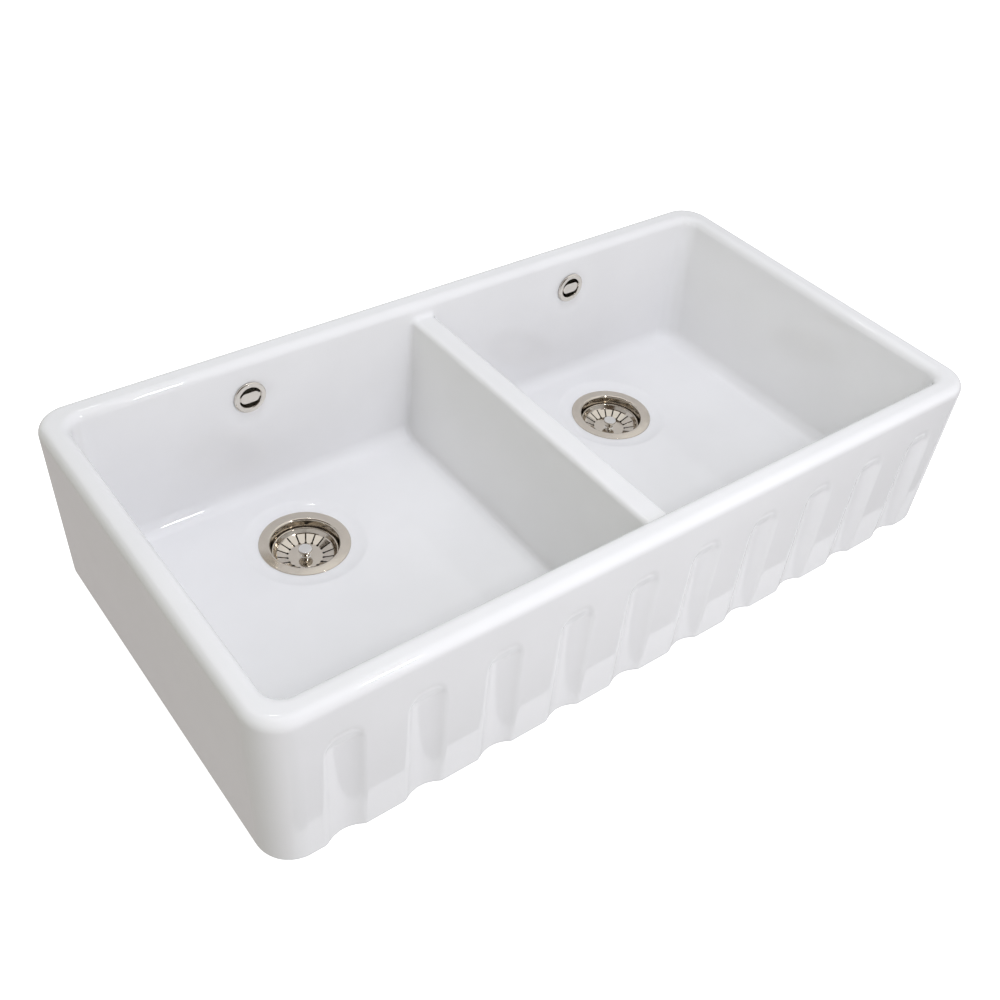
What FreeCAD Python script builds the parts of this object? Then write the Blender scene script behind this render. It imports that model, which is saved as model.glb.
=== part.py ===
import FreeCAD, Part
import math
import os

import Sketcher
from FreeCAD import Placement, Rotation, Vector

# Farmhouse apron front sink: two bowls in one glazed fireclay body with a fluted apron, and in
# each bowl a 90 mm basket strainer waste and a round overflow.
#
# Millimetres.  The origin is the middle of the body's underside, X runs along the apron to the
# right, Y runs from the apron to the back, and Z is up.

DRIVING_SIZES = (
    ("overcut", 1.0, "how far a cut or a join runs past the face that it meets"),
    # fireclay body
    ("sink_width", 1000.0, "body, left to right at the rim"),
    ("sink_depth", 525.0, "body, apron to back"),
    ("sink_height", 220.0, "body, underside to rim"),
    ("side_lean", 4.4, "how far each side leans in from rim to underside"),
    ("outer_corner", 40.0, "plan radius of the outer corners"),
    ("foot_round", 7.5, "round between the outer walls and the underside"),
    ("rim_outer_round", 12.0, "round on the rim's outer edge"),
    ("rim_inner_round", 11.0, "round on the rim's inner edge"),
    ("side_rim", 30.0, "rim width at the left and right"),
    ("front_rim", 31.0, "rim width over the apron"),
    ("back_rim", 32.0, "rim width at the back"),
    ("mouth_corner", 22.0, "plan radius of the rim's inner corners"),
    ("mouth_depth", 27.0, "depth of the upright band below the rim"),
    ("divider_width", 32.0, "divider, across its top"),
    ("divider_drop", 20.5, "rim down to the top of the divider"),
    ("divider_round", 6.5, "round on each top edge of the divider"),
    ("divider_corner", 8.0, "plan radius where divider and walls meet, at the top"),
    ("floor_level", 25.5, "bowl floor above the underside"),
    ("bowl_lean", 10.0, "how far each bowl wall leans in on its way down"),
    ("floor_corner", 24.0, "plan radius of a bowl's corners at the floor"),
    ("floor_round", 18.0, "round between bowl walls and floor"),
    # flutes of the apron
    ("flute_pitch", 92.4, "from one flute to the next"),
    ("flute_radius", 38.0, "radius of a flute's hollow"),
    ("flute_depth", 7.0, "depth of a flute"),
    ("flute_drop", 68.0, "rim down to where the flutes start to run out"),
    ("flute_runout", 17.0, "height over which a flute runs out"),
    ("flute_margin", 10.0, "least flat between an outer corner and a flute"),
    ("flute_edge_round", 12.0, "round on a flute's side edges"),
    ("flute_arch_round", 5.0, "round on the arch over a flute"),
    # holes and recesses of the body
    ("waste_offset", 250.0, "waste, from the body's middle, left or right"),
    ("waste_back", 109.0, "waste, behind the body's middle"),
    ("waste_hole_radius", 45.0, "hole for the strainer"),
    ("recess_depth", 5.0, "recess round the hole, below the floor"),
    ("recess_radius", 61.0, "flat of the recess"),
    ("recess_slope", 6.0, "width of the slope from recess to floor"),
    ("overflow_offset", 250.0, "overflow, from the body's middle, left or right"),
    ("overflow_drop", 52.4, "rim down to the overflow's axis"),
    ("overflow_hole_radius", 17.5, "hole for the overflow sleeve"),
    ("spotface_radius", 22.5, "flat that the overflow ring sits on"),
    # strainer bowl
    ("sheet", 1.0, "stamped sheet of the strainer bowl"),
    ("flange_radius", 56.5, "strainer flange"),
    ("flange_edge_round", 0.6, "round on the flange's edge"),
    ("bead_radius", 3.0, "rolled bead from flange to wall"),
    ("strainer_radius", 42.4, "inside of the strainer bowl"),
    ("strainer_depth", 35.0, "flange face down to the strainer bowl's floor"),
    ("strainer_round", 6.0, "round inside the strainer bowl's foot"),
    ("screw_hole_radius", 4.3, "hole for the centre screw"),
    ("outlet_count", 6.0, "outlet holes round the centre screw"),
    ("outlet_radius", 5.6, "outlet hole"),
    ("outlet_circle", 17.0, "radius of the circle of outlet holes"),
    # seals under the flange and under the body
    ("flange_seal_thickness", 1.5, "seal between recess and flange"),
    ("seal_setback", 0.5, "seal's edge behind the edge of what covers it"),
    ("washer_thickness", 3.0, "washer between underside and waste body"),
    # waste body
    ("body_flange_radius", 58.0, "flange of the waste body"),
    ("body_flange_thickness", 3.5, "flange of the waste body"),
    ("chamber_radius", 46.0, "inside of the waste body"),
    ("body_wall", 3.5, "wall of the waste body"),
    ("chamber_depth", 27.5, "upright part of the chamber"),
    ("funnel_depth", 16.5, "funnel under the chamber"),
    ("tail_radius", 23.9, "outside of the tail's one and a half inch pipe thread"),
    ("tail_wall", 3.4, "wall of the tail"),
    ("tail_length", 19.0, "threaded tail"),
    ("funnel_offset", 1.0, "funnel's outer bend below its inner one"),
    ("tail_offset", 2.0, "tail's outer bend below its inner one"),
    ("bridge_drop", 1.7, "bridge below the chamber's upright wall"),
    ("bridge_width", 5.0, "each arm of the bridge that holds the nut"),
    ("bridge_depth", 9.8, "height of the bridge's arms"),
    ("boss_radius", 10.0, "boss in the middle of the bridge"),
    ("boss_rise", 2.0, "boss above and below the arms"),
    ("hose_radius", 10.0, "outside of the overflow hose spigots"),
    ("hose_wall", 2.2, "wall of the overflow hose spigots"),
    ("collar_radius", 13.0, "collar that a spigot stands on"),
    ("collar_height", 4.0, "collar beyond the chamber's wall"),
    ("spigot_length", 20.0, "spigot beyond its collar"),
    ("spigot_drop", 18.0, "waste body's spigot below the underside"),
    # centre screw and its nut
    ("screw_radius", 4.0, "shank of the centre screw"),
    ("screw_head_radius", 7.5, "head of the centre screw"),
    ("screw_head_height", 7.0, "head of the centre screw"),
    ("socket_radius", 3.9, "socket in the screw's head"),
    ("socket_depth", 6.2, "socket in the screw's head"),
    ("screw_end", 1.0, "screw below the nut"),
    ("nut_flats", 13.0, "captive nut across its flats"),
    ("nut_height", 6.5, "captive nut"),
    ("nut_play", 0.1, "between the nut and its pocket"),
    ("thread_play", 0.05, "between screw and nut, and between sleeve and elbow"),
    # basket
    ("basket_sheet", 0.8, "stamped sheet of the basket"),
    ("basket_rim_radius", 41.2, "outside of the basket's rolled rim"),
    ("basket_rim_drop", 11.6, "flange face down to the top of the basket's rim"),
    ("rim_roll", 1.2, "radius of the rolled rim"),
    ("basket_floor_drop", 22.5, "flange face down to the basket's floor"),
    ("floor_disc_radius", 22.0, "flat disc of the basket's floor"),
    ("slope_radius", 35.0, "top of the slotted slope"),
    ("slope_rise", 4.5, "rise of the slotted slope"),
    ("basket_bend", 2.0, "bend between slope and wall"),
    ("slot_count", 18.0, "slots round the basket"),
    ("slot_width", 1.9, "slot"),
    ("slot_hole_radius", 1.6, "round hole at a slot's inner end"),
    ("slot_circle", 22.6, "radius of the circle of round holes"),
    ("slot_end", 35.5, "outer end of the slots"),
    # knob, basket seal, its nut and the stem's clip
    ("knob_radius", 8.8, "disc of the knob"),
    ("knob_height", 12.5, "knob above the basket's floor"),
    ("knob_disc", 3.0, "thickness of the knob's disc"),
    ("knob_edge", 1.1, "round on the knob's edge"),
    ("neck_radius", 4.2, "neck of the knob"),
    ("neck_flare", 2.0, "flare from neck to disc and from neck to foot"),
    ("stem_radius", 3.0, "stem below the basket's floor"),
    ("stem_tip_radius", 2.2, "stem inside the clip"),
    ("stem_head", 0.8, "head at the end of the stem"),
    ("stem_play", 0.1, "between the stem and what sits on it"),
    ("seal_sheet", 2.0, "thickness of the basket's seal"),
    ("seal_hub_radius", 11.5, "flat hub of the basket's seal"),
    ("seal_radius", 27.0, "basket's seal"),
    ("lip_height", 1.7, "lip of the basket's seal"),
    ("lip_width", 3.0, "lip of the basket's seal"),
    ("lip_chamfer", 1.0, "chamfer on the lip's outer edge"),
    ("seal_gap", 0.3, "between the seal's lip and the strainer bowl's floor"),
    ("stem_nut_radius", 5.5, "nut under the basket's seal, across its flats, halved"),
    ("stem_nut_height", 2.0, "nut under the basket's seal"),
    ("clip_radius", 3.6, "split clip on the stem's tip"),
    ("clip_slot", 1.2, "slot in the clip"),
    # overflow
    ("ring_radius", 21.0, "overflow ring"),
    ("ring_face", 2.4, "thickness of the overflow ring"),
    ("ring_round", 1.4, "round on the overflow ring's edges"),
    ("opening_radius", 14.2, "opening of the overflow ring"),
    ("sleeve_radius", 16.0, "threaded sleeve of the overflow ring"),
    ("sleeve_reach", 12.0, "sleeve beyond the body's back"),
    ("bar_height", 14.4, "bar across the overflow's opening"),
    ("bar_length", 24.4, "flat part of the bar, end to end"),
    ("bar_thickness", 2.4, "bar across the overflow's opening"),
    ("bar_corner", 6.2, "round on the bar's corners"),
    ("bar_setback", 1.0, "bar behind the ring's face"),
    ("web_height", 6.0, "webs that join the bar to the sleeve"),
    ("web_setback", 1.0, "webs behind the bar's face"),
    ("gasket_thickness", 1.0, "gasket under the overflow ring"),
    ("rear_washer_thickness", 2.0, "washer between the body's back and the elbow"),
    ("elbow_flange_radius", 24.0, "flange of the overflow elbow"),
    ("elbow_flange_thickness", 3.0, "flange of the overflow elbow"),
    ("elbow_radius", 19.5, "outside of the overflow elbow"),
    ("elbow_length", 30.0, "elbow, washer to its closed end"),
    ("elbow_end", 3.0, "closed end of the elbow"),
    ("elbow_round", 5.0, "round on the elbow's closed end"),
    ("elbow_spigot_back", 16.5, "elbow's spigot behind the washer"),
)


class Size:
    """A size as a number and as the sheet's formula for it."""

    def __init__(self, value, formula):
        self.value = float(value)
        self.formula = formula

    def __add__(self, other):
        other = as_size(other)
        return Size(self.value + other.value, "(%s + %s)" % (self.formula, other.formula))

    def __sub__(self, other):
        other = as_size(other)
        return Size(self.value - other.value, "(%s - %s)" % (self.formula, other.formula))

    def __mul__(self, other):
        other = as_size(other)
        return Size(self.value * other.value, "(%s * %s)" % (self.formula, other.formula))

    def __truediv__(self, other):
        other = as_size(other)
        return Size(self.value / other.value, "(%s / %s)" % (self.formula, other.formula))

    def __neg__(self):
        return Size(-self.value, "(0 - %s)" % self.formula)

    def root(self):
        """The square root."""
        return Size(math.sqrt(self.value), "sqrt(%s)" % self.formula)

    def whole(self):
        """The whole number below."""
        return Size(math.floor(self.value), "floor(%s)" % self.formula)

    def __radd__(self, other):
        return as_size(other) + self

    def __rsub__(self, other):
        return as_size(other) - self

    def __rmul__(self, other):
        return as_size(other) * self


def as_size(number):
    """A plain number as a size."""
    return number if isinstance(number, Size) else Size(number, repr(float(number)))


ZERO = as_size(0)
NEAR = 0.01
ROOT_POINT = (-1, 1)
LEVEL_AXIS = -1
UPRIGHT_AXIS = -2
LEFT_TURN = 1
RIGHT_TURN = -1
LEFT = ("left", -1)
RIGHT = ("right", 1)

doc = FreeCAD.newDocument("apron_front_sink")


def write_sheet():
    """Put the driving sizes into the sheet and return them by name."""
    sheet = doc.addObject("Spreadsheet::Sheet", "Sizes")
    sizes = {}
    for row, (name, value, meaning) in enumerate(DRIVING_SIZES, start=1):
        sheet.set("A%d" % row, name)
        sheet.set("B%d" % row, str(value))
        sheet.set("C%d" % row, meaning)
        sheet.setAlias("B%d" % row, name)
        sizes[name] = Size(value, "Sizes." + name)
    doc.recompute()
    return sizes


SIZE = write_sheet()


# ------------------------------------------------------------------ sketches and features


def bind(target, path, size):
    """Tie a property to the sheet."""
    target.setExpression(path, size.formula)


def new_body(label):
    body = doc.addObject("PartDesign::Body", label)
    body.Label = label
    return body


def new_sketch(body, role, label, shift=ZERO):
    """A sketch on one of the body's origin planes, moved along the plane's normal."""
    sketch = body.newObject("Sketcher::SketchObject", label)
    plane = [item for item in body.Origin.OriginFeatures if item.Role == role][0]
    sketch.AttachmentSupport = [(plane, "")]
    sketch.MapMode = "FlatFace"
    sketch.AttachmentOffset = Placement(Vector(0, 0, shift.value), Rotation())
    if shift is not ZERO:
        bind(sketch, "AttachmentOffset.Base.z", shift)
    return sketch


def bend(start, end, radius, turn):
    """The arc of less than half a circle from start to end that turns the given way."""
    chord = end - start
    normal = Vector(-chord.y, chord.x, 0).normalize() * turn
    reach = math.sqrt(max(radius * radius - chord.Length ** 2 / 4, 0))
    middle = (start + end) * 0.5
    peak = middle + normal * (reach - radius)
    return Part.Arc(start, peak, end)


def hold(sketch, geometry, point, axis, place):
    """Fix one coordinate of a point of the sketch."""
    kind = ("DistanceX", "DistanceY")[axis]
    if place is ZERO:
        line = (UPRIGHT_AXIS, LEVEL_AXIS)[axis]
        sketch.addConstraint(Sketcher.Constraint("PointOnObject", geometry, point, line))
        return
    index = sketch.addConstraint(
        Sketcher.Constraint(kind, *ROOT_POINT, geometry, point, place.value)
    )
    bind(sketch, "Constraints[%d]" % index, place)


def draw(sketch, steps):
    """Draw a closed outline.

    A step (x, y) is a line to that point, and (x, y, radius, turn) an arc to it.
    """
    steps = [tuple(as_size(v) if i < 3 else v for i, v in enumerate(step)) for step in steps]
    points = [Vector(step[0].value, step[1].value, 0) for step in steps]
    ends = []
    for number, step in enumerate(steps):
        start, end = points[number - 1], points[number]
        if len(step) == 2:
            index = sketch.addGeometry(Part.LineSegment(start, end))
            ends.append((index, 1, 2))
        else:
            index = sketch.addGeometry(bend(start, end, step[2].value, step[3]))
            ends.append((index, 1, 2) if step[3] == LEFT_TURN else (index, 2, 1))
    for number, (index, _, last) in enumerate(ends):
        following, first, _ = ends[(number + 1) % len(ends)]
        sketch.addConstraint(Sketcher.Constraint("Coincident", index, last, following, first))
    for (index, _, last), step in zip(ends, steps):
        hold(sketch, index, last, 0, ZERO if step[0].formula == ZERO.formula else step[0])
        hold(sketch, index, last, 1, ZERO if step[1].formula == ZERO.formula else step[1])
        if len(step) == 4:
            ring = sketch.addConstraint(Sketcher.Constraint("Radius", index, step[2].value))
            bind(sketch, "Constraints[%d]" % ring, step[2])


def draw_circle(sketch, x, y, radius):
    circle = Part.Circle(Vector(x.value, y.value, 0), Vector(0, 0, 1), radius.value)
    index = sketch.addGeometry(circle)
    hold(sketch, index, 3, 0, x)
    hold(sketch, index, 3, 1, y)
    ring = sketch.addConstraint(Sketcher.Constraint("Radius", index, radius.value))
    bind(sketch, "Constraints[%d]" % ring, radius)


def rounded_box(low_x, high_x, low_y, high_y, left_round, right_round):
    """Steps of a rectangle with one radius on its left and one on its right corners."""
    return [
        (low_x + left_round, low_y),
        (high_x - right_round, low_y),
        (high_x, low_y + right_round, right_round, LEFT_TURN),
        (high_x, high_y - right_round),
        (high_x - right_round, high_y, right_round, LEFT_TURN),
        (low_x + left_round, high_y),
        (low_x, high_y - left_round, left_round, LEFT_TURN),
        (low_x, low_y + left_round),
        (low_x + left_round, low_y, left_round, LEFT_TURN),
    ][1:]


def feature(body, kind, label, profile):
    made = body.newObject("PartDesign::" + kind, label)
    made.Profile = profile
    return made


def turn_solid(body, steps, label="turned"):
    """Turn an outline in the XZ plane about Z."""
    sketch = new_sketch(body, "XZ_Plane", label + "_outline")
    draw(sketch, steps)
    made = feature(body, "Revolution", label, sketch)
    made.ReferenceAxis = (sketch, ["V_Axis"])
    made.Angle = 360
    return made


def extrude(body, sketch, length, label, kind="Pad", reverse=False, both=False):
    made = feature(body, kind, label, sketch)
    made.Type = "Length"
    made.SideType = "Symmetric" if both else "One side"
    made.Reversed = reverse
    bind(made, "Length", length)
    return made


def ring_pattern(body, original, count, label):
    """Copies of a feature round Z."""
    pattern = body.newObject("PartDesign::PolarPattern", label)
    pattern.Originals = [original]
    pattern.Axis = ([item for item in body.Origin.OriginFeatures if item.Role == "Z_Axis"][0], [""])
    pattern.Angle = 360
    bind(pattern, "Occurrences", count)
    body.Tip = pattern
    return pattern


def edges_where(shape, test):
    """Names of the shape's edges that pass a test."""
    return ["Edge%d" % number for number, edge in enumerate(shape.Edges, start=1) if test(edge)]


def level_edges(shape, height, others=()):
    """Names of the edges at one height that lie in none of the other shapes' edges."""
    known = [edge.CenterOfMass for other in others for edge in other.Edges]

    def wanted(edge):
        box = edge.BoundBox
        if abs(box.ZMin - height) > NEAR or abs(box.ZMax - height) > NEAR:
            return False
        return all(edge.CenterOfMass.distanceToPoint(place) > NEAR for place in known)

    return edges_where(shape, wanted)


def round_edges(body, base, names, radius, label):
    made = body.newObject("PartDesign::Fillet", label)
    made.Base = (base, names)
    bind(made, "Radius", radius)
    doc.recompute()
    return made


def place(body, x, y, z=ZERO, rotation=None):
    """Put a finished sub-part where it belongs."""
    body.Placement = Placement(Vector(x.value, y.value, z.value), rotation or Rotation())
    for path, size in (("x", x), ("y", y), ("z", z)):
        bind(body, "Placement.Base." + path, size)


# ------------------------------------------------------------------ levels used by many pieces

REST_LEVEL = SIZE["floor_level"] - SIZE["recess_depth"]
FLANGE_UNDERSIDE = REST_LEVEL + SIZE["flange_seal_thickness"]
FLANGE_FACE = FLANGE_UNDERSIDE + SIZE["sheet"]
STRAINER_FLOOR = FLANGE_FACE - SIZE["strainer_depth"]
STRAINER_UNDERSIDE = STRAINER_FLOOR - SIZE["sheet"]
STRAINER_OUTSIDE = SIZE["strainer_radius"] + SIZE["sheet"]
BEAD_START = SIZE["strainer_radius"] + SIZE["bead_radius"]
BASKET_FLOOR = FLANGE_FACE - SIZE["basket_floor_drop"]
BASKET_UNDERSIDE = BASKET_FLOOR - SIZE["basket_sheet"]
SCREW_HEAD_TOP = STRAINER_FLOOR + SIZE["screw_head_height"]
SOCKET_FLOOR = SCREW_HEAD_TOP - SIZE["socket_depth"]
BODY_FACE = -SIZE["washer_thickness"]
CHAMBER_FOOT = BODY_FACE - SIZE["chamber_depth"]
FUNNEL_FOOT = CHAMBER_FOOT - SIZE["funnel_depth"]
TAIL_TOP = FUNNEL_FOOT - SIZE["tail_offset"]
TAIL_END = TAIL_TOP - SIZE["tail_length"]
TAIL_BORE = SIZE["tail_radius"] - SIZE["tail_wall"]
BRIDGE_TOP = CHAMBER_FOOT - SIZE["bridge_drop"]
BRIDGE_FOOT = BRIDGE_TOP - SIZE["bridge_depth"]
BOSS_FOOT = BRIDGE_FOOT - SIZE["boss_rise"]
BOSS_TOP = BRIDGE_TOP + SIZE["boss_rise"]
STEM_NUT_TOP = BASKET_UNDERSIDE - SIZE["seal_sheet"]
STEM_NUT_FOOT = STEM_NUT_TOP - SIZE["stem_nut_height"]
STEM_HEAD_TOP = SOCKET_FLOOR + SIZE["stem_head"] + SIZE["seal_gap"]
WASTE_Y = SIZE["waste_back"]

MOUTH_LEVEL = SIZE["sink_height"] - SIZE["mouth_depth"]
MOUTH_SIDE = SIZE["sink_width"] / 2 - SIZE["side_rim"]
APRON_FACE = -SIZE["sink_depth"] / 2
BACK_FACE = SIZE["sink_depth"] / 2
MOUTH_FRONT = APRON_FACE + SIZE["front_rim"]
MOUTH_BACK = BACK_FACE - SIZE["back_rim"]

OVERFLOW_LEVEL = SIZE["sink_height"] - SIZE["overflow_drop"]
FLUTE_TOP = SIZE["sink_height"] - SIZE["flute_drop"]

# As many flutes as fit between the outer corners.
FLUTE_HALF_WIDTH = (SIZE["flute_depth"] * (SIZE["flute_radius"] * 2 - SIZE["flute_depth"])).root()
APRON_FLAT = SIZE["sink_width"] - (SIZE["outer_corner"] + SIZE["flute_margin"]) * 2
FLUTE_COUNT = ((APRON_FLAT - FLUTE_HALF_WIDTH * 2) / SIZE["flute_pitch"]).whole() + 1

# The spotface lies in the plane of the upright band, so it cuts the leaning wall all round.
SPOTFACE_Y = MOUTH_BACK


# ------------------------------------------------------------------ the fireclay body


def body_block(body):
    """The block with its leaning sides and rounded upright corners."""
    sketch = new_sketch(body, "XZ_Plane", "front_outline", -BACK_FACE)
    side = SIZE["sink_width"] / 2
    foot = side - SIZE["side_lean"]
    draw(sketch, [(-foot, ZERO), (foot, ZERO), (side, SIZE["sink_height"]), (-side, SIZE["sink_height"])])
    block = extrude(body, sketch, SIZE["sink_depth"], "block")
    doc.recompute()
    tall = SIZE["sink_height"].value - NEAR
    names = edges_where(block.Shape, lambda edge: edge.BoundBox.ZLength > tall)
    return round_edges(body, block, names, SIZE["outer_corner"], "outer_corners")


def round_outside(body, fluted):
    """The rounds along the foot, flutes included, and along the rim's outer edge."""
    names = level_edges(fluted.Shape, 0)
    foot = round_edges(body, fluted, names, SIZE["foot_round"], "foot_edge")
    names = level_edges(foot.Shape, SIZE["sink_height"].value)
    return round_edges(body, foot, names, SIZE["rim_outer_round"], "rim_outer_edge")


def cut_mouth(body):
    """The upright band below the rim, over both bowls and the divider."""
    sketch = new_sketch(body, "XY_Plane", "mouth_outline", SIZE["sink_height"])
    corner = SIZE["mouth_corner"]
    draw(sketch, rounded_box(-MOUTH_SIDE, MOUTH_SIDE, MOUTH_FRONT, MOUTH_BACK, corner, corner))
    mouth = extrude(body, sketch, SIZE["mouth_depth"], "mouth", "Pocket")
    doc.recompute()
    return mouth


def cut_bowl(body, name, side):
    """One bowl: walls that lean in to a floor with wider corners."""
    outlines = []
    for label, level, lean, outer, inner in (
        ("top", MOUTH_LEVEL, ZERO, SIZE["mouth_corner"], SIZE["divider_corner"]),
        ("floor", SIZE["floor_level"], SIZE["bowl_lean"], SIZE["floor_corner"], SIZE["floor_corner"]),
    ):
        sketch = new_sketch(body, "XY_Plane", "%s_bowl_%s" % (name, label), level)
        near = SIZE["divider_width"] / 2 + lean
        far = MOUTH_SIDE - lean
        front = MOUTH_FRONT + lean
        back = MOUTH_BACK - lean
        if side > 0:
            draw(sketch, rounded_box(near, far, front, back, inner, outer))
        else:
            draw(sketch, rounded_box(-far, -near, front, back, outer, inner))
        outlines.append(sketch)
    bowl = feature(body, "SubtractiveLoft", name + "_bowl", outlines[0])
    bowl.Sections = outlines[1:]
    bowl.Ruled = True
    doc.recompute()
    return bowl


def add_divider_crest(body):
    """The rounded top of the divider, let into the front and back walls."""
    overlap = SIZE["overcut"]
    sketch = new_sketch(body, "XZ_Plane", "crest_outline", overlap - MOUTH_FRONT)
    half = SIZE["divider_width"] / 2
    crest = SIZE["sink_height"] - SIZE["divider_drop"]
    shoulder = crest - SIZE["divider_round"]
    flat = half - SIZE["divider_round"]
    root = MOUTH_LEVEL - overlap
    draw(sketch, [
        (half, root),
        (half, shoulder),
        (flat, crest, SIZE["divider_round"], LEFT_TURN),
        (-flat, crest),
        (-half, shoulder, SIZE["divider_round"], LEFT_TURN),
        (-half, root),
    ])
    length = MOUTH_BACK - MOUTH_FRONT + overlap * 2
    crest_pad = extrude(body, sketch, length, "divider_crest", reverse=True)
    doc.recompute()
    return crest_pad


def cut_waste_hole(body, name, side):
    """The strainer's hole and the dished recess that its flange sits in."""
    offset = -WASTE_Y
    sketch = new_sketch(body, "XZ_Plane", name + "_waste_outline", offset)
    middle = SIZE["waste_offset"] * side
    above = SIZE["floor_level"] + SIZE["recess_depth"]
    hole = middle + SIZE["waste_hole_radius"]
    flat = middle + SIZE["recess_radius"]
    slope = flat + SIZE["recess_slope"]
    draw(sketch, [
        (middle, above),
        (middle, -SIZE["overcut"]),
        (hole, -SIZE["overcut"]),
        (hole, REST_LEVEL),
        (flat, REST_LEVEL),
        (slope, SIZE["floor_level"]),
        (slope, above),
    ])
    axis = sketch.addGeometry(Part.LineSegment(Vector(middle.value, 0, 0), Vector(middle.value, 1, 0)), True)
    sketch.addConstraint(Sketcher.Constraint("Vertical", axis))
    hold(sketch, axis, 1, 0, middle)
    hold(sketch, axis, 1, 1, ZERO)
    hold(sketch, axis, 2, 1, SIZE["overcut"])
    groove = feature(body, "Groove", name + "_waste_hole", sketch)
    groove.ReferenceAxis = (sketch, ["Axis0"])
    groove.Angle = 360
    return groove


def cut_overflow_hole(body, name, side):
    """The overflow's hole through the back wall and the flat round its mouth."""
    middle = SIZE["overflow_offset"] * side
    for label, radius, start, length in (
        ("hole", SIZE["overflow_hole_radius"], BACK_FACE + SIZE["overcut"], SIZE["back_rim"] * 2),
        ("spotface", SIZE["spotface_radius"], SPOTFACE_Y, SIZE["bowl_lean"]),
    ):
        sketch = new_sketch(body, "XZ_Plane", "%s_overflow_%s_outline" % (name, label), -start)
        draw_circle(sketch, middle, OVERFLOW_LEVEL, radius)
        cut = extrude(body, sketch, length, "%s_overflow_%s" % (name, label), "Pocket", reverse=True)
    return cut


# The run-out's slope is drawn to twice its height, so that it ends outside the apron's face.
RUNOUT_SPAN = 2


def cut_flutes(body):
    """The flutes: upright hollows that lean out of the apron's face at the top."""
    outside = APRON_FACE - SIZE["flute_radius"] + SIZE["flute_depth"]
    first = -SIZE["flute_pitch"] * (FLUTE_COUNT - 1) / 2
    beyond = SIZE["flute_runout"] * RUNOUT_SPAN
    lean = SIZE["flute_depth"] * RUNOUT_SPAN
    outlines = []
    for label, level, centre in (
        ("foot", -SIZE["overcut"], outside),
        ("top", FLUTE_TOP, outside),
        ("runout", FLUTE_TOP + beyond, outside - lean),
    ):
        sketch = new_sketch(body, "XY_Plane", "flute_" + label, level)
        draw_circle(sketch, first, centre, SIZE["flute_radius"])
        outlines.append(sketch)
    flute = feature(body, "SubtractiveLoft", "flute", outlines[0])
    flute.Sections = outlines[1:]
    flute.Ruled = True
    doc.recompute()
    pattern = body.newObject("PartDesign::LinearPattern", "flutes")
    pattern.Originals = [flute]
    pattern.Direction = ([item for item in body.Origin.OriginFeatures if item.Role == "X_Axis"][0], [""])
    pattern.Mode = "Spacing"
    bind(pattern, "Offset", SIZE["flute_pitch"])
    bind(pattern, "Occurrences", FLUTE_COUNT)
    body.Tip = pattern
    doc.recompute()
    return pattern


def round_flutes(body, fluted):
    """Soften the flutes' side edges and the arches over them."""
    face = APRON_FACE.value
    top = FLUTE_TOP.value

    def in_face(edge):
        box = edge.BoundBox
        return abs(box.YMin - face) < NEAR and abs(box.YMax - face) < NEAR

    def side_edge(edge):
        box = edge.BoundBox
        return in_face(edge) and box.XLength < NEAR and abs(box.ZMax - top) < NEAR

    def arch(edge):
        box = edge.BoundBox
        return in_face(edge) and abs(box.ZMin - top) < NEAR and box.ZLength > NEAR

    names = edges_where(fluted.Shape, side_edge)
    sides = round_edges(body, fluted, names, SIZE["flute_edge_round"], "flute_sides")
    names = edges_where(sides.Shape, arch)
    return round_edges(body, sides, names, SIZE["flute_arch_round"], "flute_arches")


def sink_body():
    body = new_body("sink_body")
    body_block(body)
    fluted = cut_flutes(body)
    fluted = round_flutes(body, fluted)
    outside = round_outside(body, fluted)
    mouth = cut_mouth(body)
    height = SIZE["sink_height"]
    names = level_edges(mouth.Shape, height.value, [outside.Shape])
    last = round_edges(body, mouth, names, SIZE["rim_inner_round"], "rim_inner_edge")
    for name, side in (LEFT, RIGHT):
        bowl = cut_bowl(body, name, side)
        names = level_edges(bowl.Shape, SIZE["floor_level"].value, [last.Shape])
        last = round_edges(body, bowl, names, SIZE["floor_round"], name + "_floor_edge")
    add_divider_crest(body)
    for name, side in (LEFT, RIGHT):
        cut_waste_hole(body, name, side)
        cut_overflow_hole(body, name, side)
    return [body]


# ------------------------------------------------------------------ the basket strainer waste


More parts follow.
